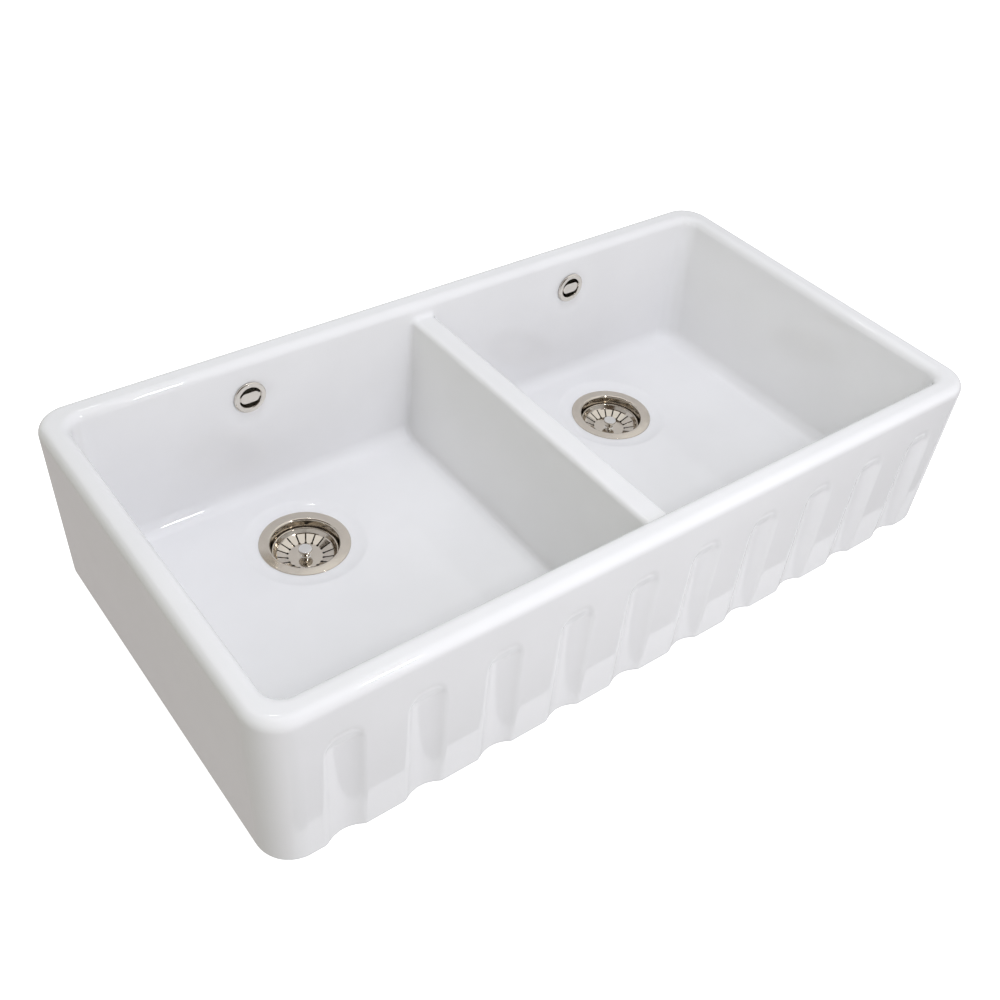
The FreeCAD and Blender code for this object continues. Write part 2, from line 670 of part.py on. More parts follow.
def strainer_bowl(name):
    """Stamped bowl whose flange shows in the sink, with outlet holes in its floor."""
    body = new_body(name + "_strainer_bowl")
    edge = SIZE["flange_edge_round"]
    inside = SIZE["strainer_radius"]
    foot = inside - SIZE["strainer_round"]
    bead_level = FLANGE_FACE - SIZE["bead_radius"]
    round_level = STRAINER_FLOOR + SIZE["strainer_round"]
    turn_solid(body, [
        (SIZE["flange_radius"], FLANGE_UNDERSIDE),
        (SIZE["flange_radius"], FLANGE_FACE - edge),
        (SIZE["flange_radius"] - edge, FLANGE_FACE, edge, LEFT_TURN),
        (BEAD_START, FLANGE_FACE),
        (inside, bead_level, SIZE["bead_radius"], LEFT_TURN),
        (inside, round_level),
        (foot, STRAINER_FLOOR, SIZE["strainer_round"], RIGHT_TURN),
        (SIZE["screw_hole_radius"], STRAINER_FLOOR),
        (SIZE["screw_hole_radius"], STRAINER_UNDERSIDE),
        (foot, STRAINER_UNDERSIDE),
        (STRAINER_OUTSIDE, round_level, SIZE["strainer_round"] + SIZE["sheet"], LEFT_TURN),
        (STRAINER_OUTSIDE, bead_level),
        (BEAD_START, FLANGE_UNDERSIDE, SIZE["bead_radius"] - SIZE["sheet"], RIGHT_TURN),
    ], "bowl")
    sketch = new_sketch(body, "XY_Plane", "outlet_outline", STRAINER_FLOOR + SIZE["overcut"])
    draw_circle(sketch, SIZE["outlet_circle"], ZERO, SIZE["outlet_radius"])
    outlet = extrude(body, sketch, SIZE["sheet"] + SIZE["overcut"] * 2, "outlet", "Pocket")
    ring_pattern(body, outlet, SIZE["outlet_count"], "outlets")
    return body


def flange_seal(name):
    """Seal between the recess and the strainer's flange."""
    body = new_body(name + "_flange_seal")
    inner = SIZE["waste_hole_radius"] + SIZE["seal_setback"]
    outer = SIZE["flange_radius"] - SIZE["seal_setback"]
    turn_solid(body, ring_steps(inner, outer, REST_LEVEL, FLANGE_UNDERSIDE))
    return body


def ring_steps(inner, outer, low, high):
    return [(outer, low), (outer, high), (inner, high), (inner, low)]


def lower_washer(name):
    """Washer between the sink's underside and the waste body."""
    body = new_body(name + "_lower_washer")
    inner = SIZE["waste_hole_radius"] + SIZE["seal_setback"]
    outer = SIZE["body_flange_radius"] - SIZE["seal_setback"]
    turn_solid(body, ring_steps(inner, outer, BODY_FACE, ZERO))
    return body


def funnel_middle(level):
    """Radius of the middle of the funnel's wall at one level."""
    share = (CHAMBER_FOOT - level) / SIZE["funnel_depth"]
    top = SIZE["chamber_radius"] + SIZE["body_wall"] / 2
    foot = TAIL_BORE + SIZE["tail_wall"] / 2
    return top + (foot - top) * share


def waste_body(name):
    """Moulded chamber, funnel and threaded tail, with a bridge for the nut and a hose spigot."""
    body = new_body(name + "_waste_body")
    chamber = SIZE["chamber_radius"]
    outside = chamber + SIZE["body_wall"]
    turn_solid(body, [
        (chamber, BODY_FACE),
        (SIZE["body_flange_radius"], BODY_FACE),
        (SIZE["body_flange_radius"], BODY_FACE - SIZE["body_flange_thickness"]),
        (outside, BODY_FACE - SIZE["body_flange_thickness"]),
        (outside, CHAMBER_FOOT - SIZE["funnel_offset"]),
        (SIZE["tail_radius"], TAIL_TOP),
        (SIZE["tail_radius"], TAIL_END),
        (TAIL_BORE, TAIL_END),
        (TAIL_BORE, FUNNEL_FOOT),
        (chamber, CHAMBER_FOOT),
    ][::-1], "chamber")
    top = funnel_middle(BRIDGE_TOP)
    foot = funnel_middle(BRIDGE_FOOT)
    for plane in ("XZ_Plane", "YZ_Plane"):
        sketch = new_sketch(body, plane, "bridge_outline_" + plane[:2])
        draw(sketch, [(-foot, BRIDGE_FOOT), (foot, BRIDGE_FOOT), (top, BRIDGE_TOP), (-top, BRIDGE_TOP)])
        extrude(body, sketch, SIZE["bridge_width"], "bridge_" + plane[:2], both=True)
    sketch = new_sketch(body, "XY_Plane", "boss_outline", BOSS_FOOT)
    draw_circle(sketch, ZERO, ZERO, SIZE["boss_radius"])
    extrude(body, sketch, BOSS_TOP - BOSS_FOOT, "boss")
    collar_end = outside + SIZE["collar_height"]
    add_spigot(body, -SIZE["spigot_drop"], chamber + SIZE["overcut"], collar_end, True)
    cut_nut_pocket(body)
    return body


def add_spigot(body, level, root, collar_end, facing_back):
    """A collar with a hose spigot on it and their bore, square to the body's own Z."""
    sign = -1 if facing_back else 1
    bore = SIZE["hose_radius"] - SIZE["hose_wall"]
    reach = collar_end + SIZE["spigot_length"]
    for label, radius, start, end, kind in (
        ("collar", SIZE["collar_radius"], root, collar_end, "Pad"),
        ("spigot", SIZE["hose_radius"], root, reach, "Pad"),
        ("spigot_bore", bore, root - bore, reach + SIZE["overcut"], "Pocket"),
    ):
        shift = end if kind == "Pocket" else start
        sketch = new_sketch(body, "XZ_Plane", label + "_outline", shift * sign)
        draw_circle(sketch, ZERO, level, radius)
        extrude(body, sketch, end - start, label, kind, reverse=facing_back)


def cut_nut_pocket(body):
    """The screw's hole through the boss and the hexagonal pocket for the nut under it."""
    sketch = new_sketch(body, "XY_Plane", "boss_hole_outline", BOSS_TOP + SIZE["overcut"])
    draw_circle(sketch, ZERO, ZERO, SIZE["screw_hole_radius"])
    extrude(body, sketch, BOSS_TOP - BOSS_FOOT + SIZE["overcut"] * 2, "boss_hole", "Pocket")
    sketch = new_sketch(body, "XY_Plane", "pocket_outline", BOSS_FOOT)
    draw_hexagon(sketch, SIZE["nut_flats"] / 2 + SIZE["nut_play"])
    extrude(body, sketch, SIZE["nut_height"], "pocket", "Pocket", reverse=True)


def draw_hexagon(sketch, apothem):
    """A hexagon about the sketch's origin, from its middle to a flat."""
    corner = apothem * 2 / as_size(3).root()
    half = corner / 2
    draw(sketch, [
        (corner, ZERO),
        (half, apothem),
        (-half, apothem),
        (-corner, ZERO),
        (-half, -apothem),
        (half, -apothem),
    ])


def captive_nut(name):
    body = new_body(name + "_captive_nut")
    sketch = new_sketch(body, "XY_Plane", "nut_outline", BOSS_FOOT)
    draw_hexagon(sketch, SIZE["nut_flats"] / 2)
    draw_circle(sketch, ZERO, ZERO, SIZE["screw_radius"] + SIZE["thread_play"])
    extrude(body, sketch, SIZE["nut_height"], "nut")
    return body


def centre_screw(name):
    """Screw that draws strainer bowl and waste body together, with a socket for the stem."""
    body = new_body(name + "_centre_screw")
    end = BOSS_FOOT - SIZE["screw_end"]
    head = SIZE["screw_head_radius"]
    turn_solid(body, [
        (ZERO, SOCKET_FLOOR),
        (ZERO, end),
        (SIZE["screw_radius"], end),
        (SIZE["screw_radius"], STRAINER_FLOOR),
        (head, STRAINER_FLOOR),
        (head, SCREW_HEAD_TOP),
        (SIZE["socket_radius"], SCREW_HEAD_TOP),
        (SIZE["socket_radius"], SOCKET_FLOOR),
    ])
    return body


# ------------------------------------------------------------------ the lift-out basket


def basket(name):
    """Stamped cup: rolled rim, smooth wall, slotted slope and flat floor."""
    body = new_body(name + "_basket")
    sheet = SIZE["basket_sheet"]
    roll = SIZE["rim_roll"]
    rim_top = FLANGE_FACE - SIZE["basket_rim_drop"]
    rim_middle = SIZE["basket_rim_radius"] - roll
    roll_level = rim_top - roll
    wall_top = rim_middle - roll
    slope_foot = SIZE["floor_disc_radius"]
    slope_top = SIZE["slope_radius"]
    slope_level = BASKET_FLOOR + SIZE["slope_rise"]
    turn_solid(body, [
        (SIZE["stem_radius"] + SIZE["stem_play"], BASKET_UNDERSIDE),
        (slope_foot, BASKET_UNDERSIDE),
        (slope_top + sheet, slope_level - sheet),
        (slope_top + sheet + SIZE["basket_bend"] / 2, slope_level + SIZE["basket_bend"] / 2),
        (wall_top + sheet, roll_level - sheet),
        (rim_middle, roll_level - roll),
        (rim_middle + roll, roll_level, roll, LEFT_TURN),
        (rim_middle, rim_top, roll, LEFT_TURN),
        (wall_top, roll_level, roll, LEFT_TURN),
        (slope_top + SIZE["basket_bend"] / 2, slope_level + SIZE["basket_bend"] / 2),
        (slope_top, slope_level),
        (slope_foot, BASKET_FLOOR),
        (SIZE["stem_radius"] + SIZE["stem_play"], BASKET_FLOOR),
    ], "cup")
    cut_slots(body)
    return body


def cut_slots(body):
    """Radial slots up the slope, each with a round hole at its inner end."""
    above = BASKET_FLOOR + SIZE["slope_rise"] + SIZE["basket_bend"]
    depth = above - BASKET_UNDERSIDE + SIZE["overcut"]
    half = SIZE["slot_width"] / 2
    sketch = new_sketch(body, "XY_Plane", "slot_outline", above)
    draw(sketch, [
        (SIZE["slot_circle"], -half),
        (SIZE["slot_end"], -half),
        (SIZE["slot_end"], half),
        (SIZE["slot_circle"], half),
    ])
    slot = extrude(body, sketch, depth, "slot", "Pocket")
    ring_pattern(body, slot, SIZE["slot_count"], "slots")
    sketch = new_sketch(body, "XY_Plane", "slot_hole_outline", above)
    draw_circle(sketch, SIZE["slot_circle"], ZERO, SIZE["slot_hole_radius"])
    hole = extrude(body, sketch, depth, "slot_hole", "Pocket")
    ring_pattern(body, hole, SIZE["slot_count"], "slot_holes")


def knob(name):
    """Knob and stem in one turning."""
    body = new_body(name + "_basket_knob")
    top = BASKET_FLOOR + SIZE["knob_height"]
    disc_foot = top - SIZE["knob_disc"]
    edge = SIZE["knob_edge"]
    radius = SIZE["knob_radius"]
    neck = SIZE["neck_radius"]
    flare = SIZE["neck_flare"]
    foot = neck + flare
    end = STEM_HEAD_TOP - SIZE["stem_head"]
    turn_solid(body, [
        (ZERO, end),
        (SIZE["stem_radius"], end),
        (SIZE["stem_radius"], STEM_HEAD_TOP),
        (SIZE["stem_tip_radius"], STEM_HEAD_TOP),
        (SIZE["stem_tip_radius"], STEM_NUT_FOOT),
        (SIZE["stem_radius"], STEM_NUT_FOOT),
        (SIZE["stem_radius"], BASKET_FLOOR),
        (foot, BASKET_FLOOR),
        (neck, BASKET_FLOOR + flare, flare, RIGHT_TURN),
        (neck, disc_foot - flare),
        (foot, disc_foot, flare, RIGHT_TURN),
        (radius - edge, disc_foot),
        (radius, disc_foot + edge, edge, LEFT_TURN),
        (radius, top - edge),
        (radius - edge, top, edge, LEFT_TURN),
        (ZERO, top),
    ])
    return body


def basket_seal(name):
    """Rubber skirt under the basket whose lip closes the strainer bowl."""
    body = new_body(name + "_basket_seal")
    sheet = SIZE["seal_sheet"]
    lip_foot = STRAINER_FLOOR + SIZE["seal_gap"]
    lip_top = lip_foot + SIZE["lip_height"]
    outer = SIZE["seal_radius"]
    inner = outer - SIZE["lip_width"]
    bore = SIZE["stem_radius"] + SIZE["stem_play"]
    turn_solid(body, [
        (bore, BASKET_UNDERSIDE - sheet),
        (SIZE["seal_hub_radius"] - sheet / 2, BASKET_UNDERSIDE - sheet),
        (inner - sheet / 2, lip_top),
        (inner, lip_foot),
        (outer - SIZE["lip_chamfer"], lip_foot),
        (outer, lip_top),
        (inner + sheet / 2, lip_top + sheet / 2),
        (SIZE["seal_hub_radius"], BASKET_UNDERSIDE),
        (bore, BASKET_UNDERSIDE),
    ])
    return body


def stem_nut(name):
    """Thin nut that holds the seal up against the basket."""
    body = new_body(name + "_stem_nut")
    sketch = new_sketch(body, "XY_Plane", "nut_outline", STEM_NUT_FOOT)
    draw_hexagon(sketch, SIZE["stem_nut_radius"])
    draw_circle(sketch, ZERO, ZERO, SIZE["stem_radius"] + SIZE["thread_play"])
    extrude(body, sketch, SIZE["stem_nut_height"], "nut")
    return body


def stem_clip(name):
    """Split clip on the stem's tip that grips the socket of the centre screw."""
    body = new_body(name + "_stem_clip")
    inner = SIZE["stem_tip_radius"] + SIZE["thread_play"]
    top = SCREW_HEAD_TOP - SIZE["seal_gap"]
    turn_solid(body, ring_steps(inner, SIZE["clip_radius"], STEM_HEAD_TOP, top), "clip")
    low = STEM_HEAD_TOP - SIZE["overcut"]
    high = top + SIZE["overcut"]
    outside = SIZE["clip_radius"] + SIZE["overcut"]
    sketch = new_sketch(body, "XZ_Plane", "split_outline")
    draw(sketch, [
        (ZERO, low),
        (outside, low),
        (outside, high),
        (ZERO, high),
    ])
    extrude(body, sketch, SIZE["clip_slot"], "split", "Pocket", both=True)
    return body


# ------------------------------------------------------------------ the overflow


def overflow_ring(name):
    """Ring, threaded sleeve and bar of the overflow; its own Z points into the bowl."""
    body = new_body(name + "_overflow_ring")
    seat = SIZE["gasket_thickness"]
    face = seat + SIZE["ring_face"]
    edge = SIZE["ring_round"]
    sleeve_end = SPOTFACE_Y - BACK_FACE - SIZE["sleeve_reach"]
    radius = SIZE["ring_radius"]
    opening = SIZE["opening_radius"]
    turn_solid(body, [
        (opening, sleeve_end),
        (SIZE["sleeve_radius"], sleeve_end),
        (SIZE["sleeve_radius"], seat),
        (radius, seat),
        (radius, face - edge),
        (radius - edge, face, edge, LEFT_TURN),
        (opening + edge, face),
        (opening, face - edge, edge, LEFT_TURN),
    ], "ring")
    bar_face = face - SIZE["bar_setback"]
    reach = opening + SIZE["overcut"]
    half_web = SIZE["web_height"] / 2
    sketch = new_sketch(body, "XY_Plane", "web_outline", bar_face - SIZE["web_setback"])
    draw(sketch, [(-reach, -half_web), (reach, -half_web), (reach, half_web), (-reach, half_web)])
    extrude(body, sketch, SIZE["bar_thickness"] - SIZE["web_setback"], "web", reverse=True)
    half_bar = SIZE["bar_length"] / 2
    half_height = SIZE["bar_height"] / 2
    corner = SIZE["bar_corner"]
    sketch = new_sketch(body, "XY_Plane", "bar_outline", bar_face)
    draw(sketch, rounded_box(-half_bar, half_bar, -half_height, half_height, corner, corner))
    extrude(body, sketch, SIZE["bar_thickness"], "bar", reverse=True)
    return body


def overflow_gasket(name):
    """Gasket between the spotface and the overflow ring."""
    body = new_body(name + "_overflow_gasket")
    inner = SIZE["overflow_hole_radius"]
    outer = SIZE["ring_radius"] - SIZE["seal_setback"]
    turn_solid(body, ring_steps(inner, outer, ZERO, SIZE["gasket_thickness"]))
    return body


def overflow_washer(name):
    """Washer between the body's back and the overflow elbow."""
    body = new_body(name + "_overflow_washer")
    inner = SIZE["overflow_hole_radius"]
    outer = SIZE["elbow_flange_radius"] - SIZE["seal_setback"]
    turn_solid(body, ring_steps(inner, outer, -SIZE["rear_washer_thickness"], ZERO))
    return body


def overflow_elbow(name):
    """Moulded elbow behind the sink: it takes the sleeve and turns down to a hose spigot."""
    body = new_body(name + "_overflow_elbow")
    face = -SIZE["rear_washer_thickness"]
    end = face - SIZE["elbow_length"]
    outside = SIZE["elbow_radius"]
    bore = SIZE["sleeve_radius"] + SIZE["thread_play"]
    closed = end + SIZE["elbow_end"]
    turn_solid(body, [
        (ZERO, closed),
        (ZERO, end),
        (outside - SIZE["elbow_round"], end),
        (outside, end + SIZE["elbow_round"], SIZE["elbow_round"], LEFT_TURN),
        (outside, face - SIZE["elbow_flange_thickness"]),
        (SIZE["elbow_flange_radius"], face - SIZE["elbow_flange_thickness"]),
        (SIZE["elbow_flange_radius"], face),
        (bore, face),
        (bore, closed),
    ], "chamber")
    along = face - SIZE["elbow_spigot_back"]
    add_spigot(body, along, bore + SIZE["overcut"], outside + SIZE["collar_height"], False)
    return body


# ------------------------------------------------------------------ assembly

FACING_FRONT = Rotation(Vector(1, 0, 0), 90)

WASTE_PIECES = (
    strainer_bowl,
    flange_seal,
    lower_washer,
    waste_body,
    captive_nut,
    centre_screw,
    basket,
    knob,
    basket_seal,
    stem_nut,
    stem_clip,
)


def build_parts():
    parts = sink_body()
    for name, side in (LEFT, RIGHT):
        for make in WASTE_PIECES:
            piece = make(name)
            place(piece, SIZE["waste_offset"] * side, WASTE_Y)
            parts.append(piece)
        for make, along in (
            (overflow_ring, SPOTFACE_Y),
            (overflow_gasket, SPOTFACE_Y),
            (overflow_washer, BACK_FACE),
            (overflow_elbow, BACK_FACE),
        ):
            piece = make(name)
            place(piece, SIZE["overflow_offset"] * side, along, OVERFLOW_LEVEL, FACING_FRONT)
            parts.append(piece)
    return parts


def check(parts):
    """Stop if anything failed to build."""
    doc.recompute()
    failed = [item.Name for item in doc.Objects if "Invalid" in item.State or "Error" in item.State]
    if failed:
        raise RuntimeError("not built: " + ", ".join(failed))
    for part in parts:
        if part.Shape.isNull() or not part.Shape.isValid() or not part.Shape.Solids:
            raise RuntimeError("bad shape: " + part.Label)


def write(parts):
    os.makedirs("parts", exist_ok=True)
    for part in parts:
        part.Shape.exportStep("parts/%s.step" % part.Label)


PARTS = build_parts()
check(PARTS)
write(PARTS)
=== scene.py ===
import math

import bpy
import numpy as np
from mathutils import Matrix, Vector


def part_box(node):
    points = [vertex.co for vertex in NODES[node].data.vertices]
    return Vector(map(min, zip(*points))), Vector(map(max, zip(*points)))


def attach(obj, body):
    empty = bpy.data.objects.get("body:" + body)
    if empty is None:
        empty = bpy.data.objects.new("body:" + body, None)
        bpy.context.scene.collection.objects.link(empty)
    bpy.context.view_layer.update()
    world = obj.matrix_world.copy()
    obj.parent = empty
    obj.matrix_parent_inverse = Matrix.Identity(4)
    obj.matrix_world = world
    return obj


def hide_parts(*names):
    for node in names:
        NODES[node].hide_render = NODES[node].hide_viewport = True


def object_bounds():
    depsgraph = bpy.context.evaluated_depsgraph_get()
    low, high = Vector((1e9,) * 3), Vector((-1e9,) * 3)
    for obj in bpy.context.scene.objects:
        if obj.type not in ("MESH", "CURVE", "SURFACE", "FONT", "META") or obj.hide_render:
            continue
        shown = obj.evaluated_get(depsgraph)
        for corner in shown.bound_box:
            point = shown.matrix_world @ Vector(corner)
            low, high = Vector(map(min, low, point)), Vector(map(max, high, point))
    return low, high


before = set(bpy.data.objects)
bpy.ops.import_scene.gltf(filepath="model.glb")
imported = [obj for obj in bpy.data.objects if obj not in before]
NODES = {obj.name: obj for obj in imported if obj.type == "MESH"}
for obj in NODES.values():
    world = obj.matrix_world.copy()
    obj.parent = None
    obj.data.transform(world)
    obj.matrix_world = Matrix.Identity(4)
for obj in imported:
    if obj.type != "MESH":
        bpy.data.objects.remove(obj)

bl_info = {
    "name": "Apron Front Sink",
    "version": (1, 0, 0),
    "blender": (4, 5, 0),
    "location": "View3D > Sidebar > Sink",
    "description": "Glazed apron front sink with its wastes, overflows, materials and studio",
    "category": "Object",
}

SIDES = ("left", "right")
CAD_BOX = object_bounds()
BODY_LOW, BODY_HIGH = (Vector(corner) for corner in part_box("sink_body"))
FLANGE_LOW, FLANGE_HIGH = (Vector(corner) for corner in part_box("right_strainer_bowl"))
RING_LOW, RING_HIGH = (Vector(corner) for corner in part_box("right_overflow_ring"))
FLANGE_MIDDLE = (FLANGE_LOW + FLANGE_HIGH) / 2
RING_MIDDLE = (RING_LOW + RING_HIGH) / 2

# Axis of the right waste (x and y) and of the right overflow (x and z). The left ones mirror them.
WASTE_CENTRE = (FLANGE_MIDDLE.x, FLANGE_MIDDLE.y)
OVERFLOW_CENTRE = (RING_MIDDLE.x, RING_MIDDLE.z)

# The pieces that each finish goes on.
SHEET_PIECES = ("strainer_bowl", "basket")
TURNED_PIECES = ("basket_knob", "centre_screw")
RUBBER_PIECES = ("flange_seal", "lower_washer", "basket_seal", "overflow_gasket", "overflow_washer")
BRASS_PIECES = ("captive_nut", "stem_nut")

# Small fixed sizes of the fireclay body, in metres.
BAND_BEND = 0.010  # half the height over which the upright band bends into the leaning wall
DISH_BEND = 0.002  # half the width over which the floor bends into the slope round a waste
WASTE_EDGE_ROUND = 0.001
OVERFLOW_EDGE_ROUND = 0.0008
OVERFLOW_CUT_START = 0.030  # the hole is cut from this far before the back wall, to spare the front
ARCH_REACH = 1.2  # the arch falls out to this many half widths and stays level beyond

# How the body is meshed, in metres except where said.
GRID_MARGIN = 1.37  # in steps; not a whole number, so that no grid plane lies in a flat face
PROBE_REACH = 0.0002  # the slope is measured over this much to each side
LEAST_SLOPE = 0.05  # smallest squared slope, so that no point is thrown far
LONGEST_MOVE = 0.003  # about the farthest that a point moves in one round

# Studio sizes, in metres.
FLOOR_GAP = 0.002  # from the lowest point of the part down to the floor
CARD_GAP = 0.001  # and down to the floor that only mirrors show
FLOOR_REACH = 12.0
CARD_REACH = 6.0
CARD_HEIGHT = 10.0
TABLE_LEFT = 0.002  # from the body's left end in to the white table's left edge
TABLE_FRONT = 0.076  # from the apron out to the white table's front edge
SENSOR_WIDTH = 36.0  # in millimetres


# ------------------------------------------------------------------ settings


def length(name, default, description, low=0.0, high=2.0):
    """A length in metres that the user can change."""
    return bpy.props.FloatProperty(
        name=name, description=description, default=default, min=low, max=high,
        unit="LENGTH", precision=4,
    )


def share(name, default, description):
    """A share from 0 to 1."""
    return bpy.props.FloatProperty(
        name=name, description=description, default=default, min=0.0, max=1.0, subtype="FACTOR",
    )


def colour(name, default, description):
    """A colour in red, green and blue."""
    return bpy.props.FloatVectorProperty(
        name=name, description=description, default=default, min=0.0, max=1.0,
        size=3, subtype="COLOR",
    )


def amount(name, default, description, high=100.0):
    """A brightness or strength."""
    return bpy.props.FloatProperty(
        name=name, description=description, default=default, min=0.0, max=high,
    )


class FireclaySettings(bpy.types.PropertyGroup):
    """Sizes and glaze of the fireclay body."""

    side_lean: length("Side lean", 0.0044, "How far each side leans in from rim to underside")
    outer_corner: length("Outer corner", 0.040, "Plan radius of the outer corners")
    foot_round: length("Foot round", 0.0075, "Round between the outer walls and the underside")
    rim_outer: length("Rim outer round", 0.012, "Round on the rim's outer edge")
    rim_inner: length("Rim inner round", 0.011, "Round on the rim's inner edge")
    side_rim: length("Side rim", 0.030, "Rim width at the left and right")
    front_rim: length("Front rim", 0.031, "Rim width over the apron")
    back_rim: length("Back rim", 0.032, "Rim width at the back")
    mouth_corner: length("Mouth corner", 0.022, "Plan radius of the rim's inner corners")
    mouth_depth: length("Mouth depth", 0.027, "Depth of the upright band below the rim")
    divider_half: length("Divider half width", 0.016, "Half the divider's width at its top")
    divider_drop: length("Divider drop", 0.0205, "Rim down to the top of the divider")
    divider_round: length("Divider round", 0.0065, "Round on the divider's top edges")
    divider_lean: length("Divider lean", 0.009, "How far each face of the divider leans out by the floor")
    divider_foot: length("Divider foot", 0.0065, "Round where the divider meets the walls and floor")
    floor_level: length("Floor level", 0.0255, "Bowl floor above the underside")
    floor_corner: length("Floor corner", 0.024, "Plan radius of the bowls' corners at the floor")
    floor_round: length("Floor round", 0.018, "Round between bowl walls and floor")
    bowl_lean: length("Bowl lean", 0.010, "How far the bowls' walls lean in on their way down")
    recess_depth: length("Recess depth", 0.0037, "Recess round a waste, below the floor")
    recess_radius: length("Recess radius", 0.0585, "Flat of the recess")
    recess_slope: length("Recess slope", 0.018, "Width of the slope from recess to floor")
    waste_hole: length("Waste hole", 0.045, "Radius of the hole for a strainer")
    overflow_hole: length("Overflow hole", 0.0175, "Radius of the hole for an overflow sleeve")
    overflow_flat: length("Overflow flat", 0.0225, "Radius of the upright flat behind an overflow ring")
    flat_ease: length("Flat ease", 0.018, "Width over which that flat eases into the leaning wall")
    flute_count: bpy.props.IntProperty(
        name="Flutes", description="Flutes in the apron", default=10, min=1, max=40,
    )
    flute_pitch: length("Flute pitch", 0.0924, "From one flute to the next")
    flute_radius: length("Flute radius", 0.038, "Radius of a flute's hollow")
    flute_depth: length("Flute depth", 0.007, "Depth of a flute")
    flute_drop: length("Flute drop", 0.0505, "Rim down to the top of the flutes")
    flute_runout: length("Flute run-out", 0.0235, "Height over which a flute runs out")
    arch_rise: length("Arch rise", 0.0195, "Height of the arch over a flute")
    arch_half: length("Arch half width", 0.022, "Half the width of the arch at its foot")
    flute_blend: length("Flute blend", 0.0019, "Softness of the flutes' edges")
    crease_blend: length("Crease blend", 0.0008, "Softness of the crease under an arch")
    mesh_step: length("Mesh step", 0.0026, "Spacing of the grid that the body is meshed on", 0.001)
    mesh_share: share("Mesh share", 0.26, "Share of the faces that is kept on the finished body")
    glaze: colour("Glaze", (0.88, 0.88, 0.885), "Colour of the white glaze")
    gloss: share("Glaze roughness", 0.03, "Roughness of the glaze")
    ripple: length("Glaze ripple", 0.0002, "Height of the slow waves in the glaze")


class MetalSettings(bpy.types.PropertyGroup):
    """Finishes of the metal pieces."""

    sheet: colour("Sheet", (0.66, 0.605, 0.53), "Stamped sheet of strainer bowl and basket")
    sheet_roughness: share("Sheet roughness", 0.09, "Roughness of the stamped sheet")
    turned: colour("Turned steel", (0.77, 0.76, 0.74), "Knob and centre screw")
    turned_roughness: share("Turned roughness", 0.06, "Roughness of the turned steel")
    plated: colour("Plating", (0.76, 0.72, 0.66), "Overflow rings")
    plated_roughness: share("Plating roughness", 0.10, "Roughness of the plating")
    brass: colour("Brass", (0.76, 0.60, 0.31), "Nuts")


class FittingSettings(bpy.types.PropertyGroup):
    """Finishes of the plastic and rubber pieces."""

    moulding: colour("Moulding", (0.78, 0.78, 0.76), "Waste bodies and overflow elbows")
    # Painted shade: a near-black colour painted on the insides of the waste bodies, down to a depth below
    # their top, where shade falls in the hole.
    stain_and_shade: colour("Water stain", (0.012, 0.010, 0.008), "Insides of the waste bodies")
    painted_shade_depth: length("Stain depth", 0.044, "How far down a waste body is stained inside")
    rubber: colour("Rubber", (0.035, 0.035, 0.037), "Seals and washers")
    nylon: colour("Nylon", (0.70, 0.68, 0.61), "Stem clips")


class StudioSettings(bpy.types.PropertyGroup):
    """Floor, light and camera."""

    floor: colour("Floor", (0.55, 0.55, 0.55), "Colour of the floor")
    floor_lift: amount("Floor lift", 0.95, "How far the floor is lifted to white", 2.0)
    mirror_lift: amount("Mirrored floor lift", 0.32, "The same for the floor seen in a mirror", 2.0)
    world: colour("Surroundings", (1.0, 0.98, 0.93), "Colour of the light from all round")
    world_strength: amount("Surroundings strength", 0.30, "Light from all round", 5.0)
    overhead: amount("Overhead light", 9.0, "Brightness of the light straight above")
    front_high: amount("Front light, high", 2.9, "Brightness of the light high before the apron")
    front_low: amount("Front light, low", 3.45, "Brightness of the light low before the apron")
    left: amount("Left light", 0.90, "Brightness of the large light off the left end")
    back: amount("Back light", 0.8, "Brightness of the large light behind")
    window: amount("Window light", 0.85, "Brightness of the light high at the back left")
    key: amount("Key light", 57.0, "Brightness of the small light that draws the bright lines")
    rear: amount("Rear light", 14.0, "Brightness of the small light behind")
    left_floor: colour("Mirrored floor, left", (0.54, 0.49, 0.50), "Workshop floor beside the sink")
    front_floor: colour("Mirrored floor, front", (0.16, 0.15, 0.14), "Workshop floor before the apron")
    mirrored_room: colour("Mirrored room", (0.10, 0.075, 0.055), "Room behind the camera seen in the metal")
    lens: bpy.props.FloatProperty(
        name="Lens", description="Focal length on a 36 mm sensor", default=42.1206, min=1.0,
        unit="CAMERA",
    )
    shift_x: bpy.props.FloatProperty(name="Shift across", description="Lens shift", default=-0.002415)
    shift_y: bpy.props.FloatProperty(name="Shift up", description="Lens shift", default=0.032892)


# ------------------------------------------------------------------ the fireclay body's shape


def meet(a, b, radius):
    """Distance to what two solids share, with the edge between them rounded outwards."""
    u = a + radius
    v = b + radius
    outside = np.hypot(np.maximum(u, 0), np.maximum(v, 0))
    return np.minimum(np.maximum(u, v), 0) + outside - radius


def join(a, b, radius):
    """Distance to two solids together, with the corner between them filled."""
    return -meet(-a, -b, radius)


def plan(x, y, half_x, low_y, high_y, radius):
    """Distance to an upright block with rounded corners."""
    u = np.abs(x) - half_x + radius
    v = np.abs(y - (low_y + high_y) / 2) - (high_y - low_y) / 2 + radius
    outside = np.hypot(np.maximum(u, 0), np.maximum(v, 0))
    return np.minimum(np.maximum(u, v), 0) + outside - radius


def ease(value):
    """Smooth step from 0 to 1."""
    value = np.clip(value, 0, 1)
    return value * value * (3 - 2 * value)


def ramp(value, width):
    """Zero, then rising one for one, with a smooth bend that reaches a width to each side."""
    return np.where(
        value < -width, 0, np.where(value > width, value, (value + width) ** 2 / (4 * width))
    )


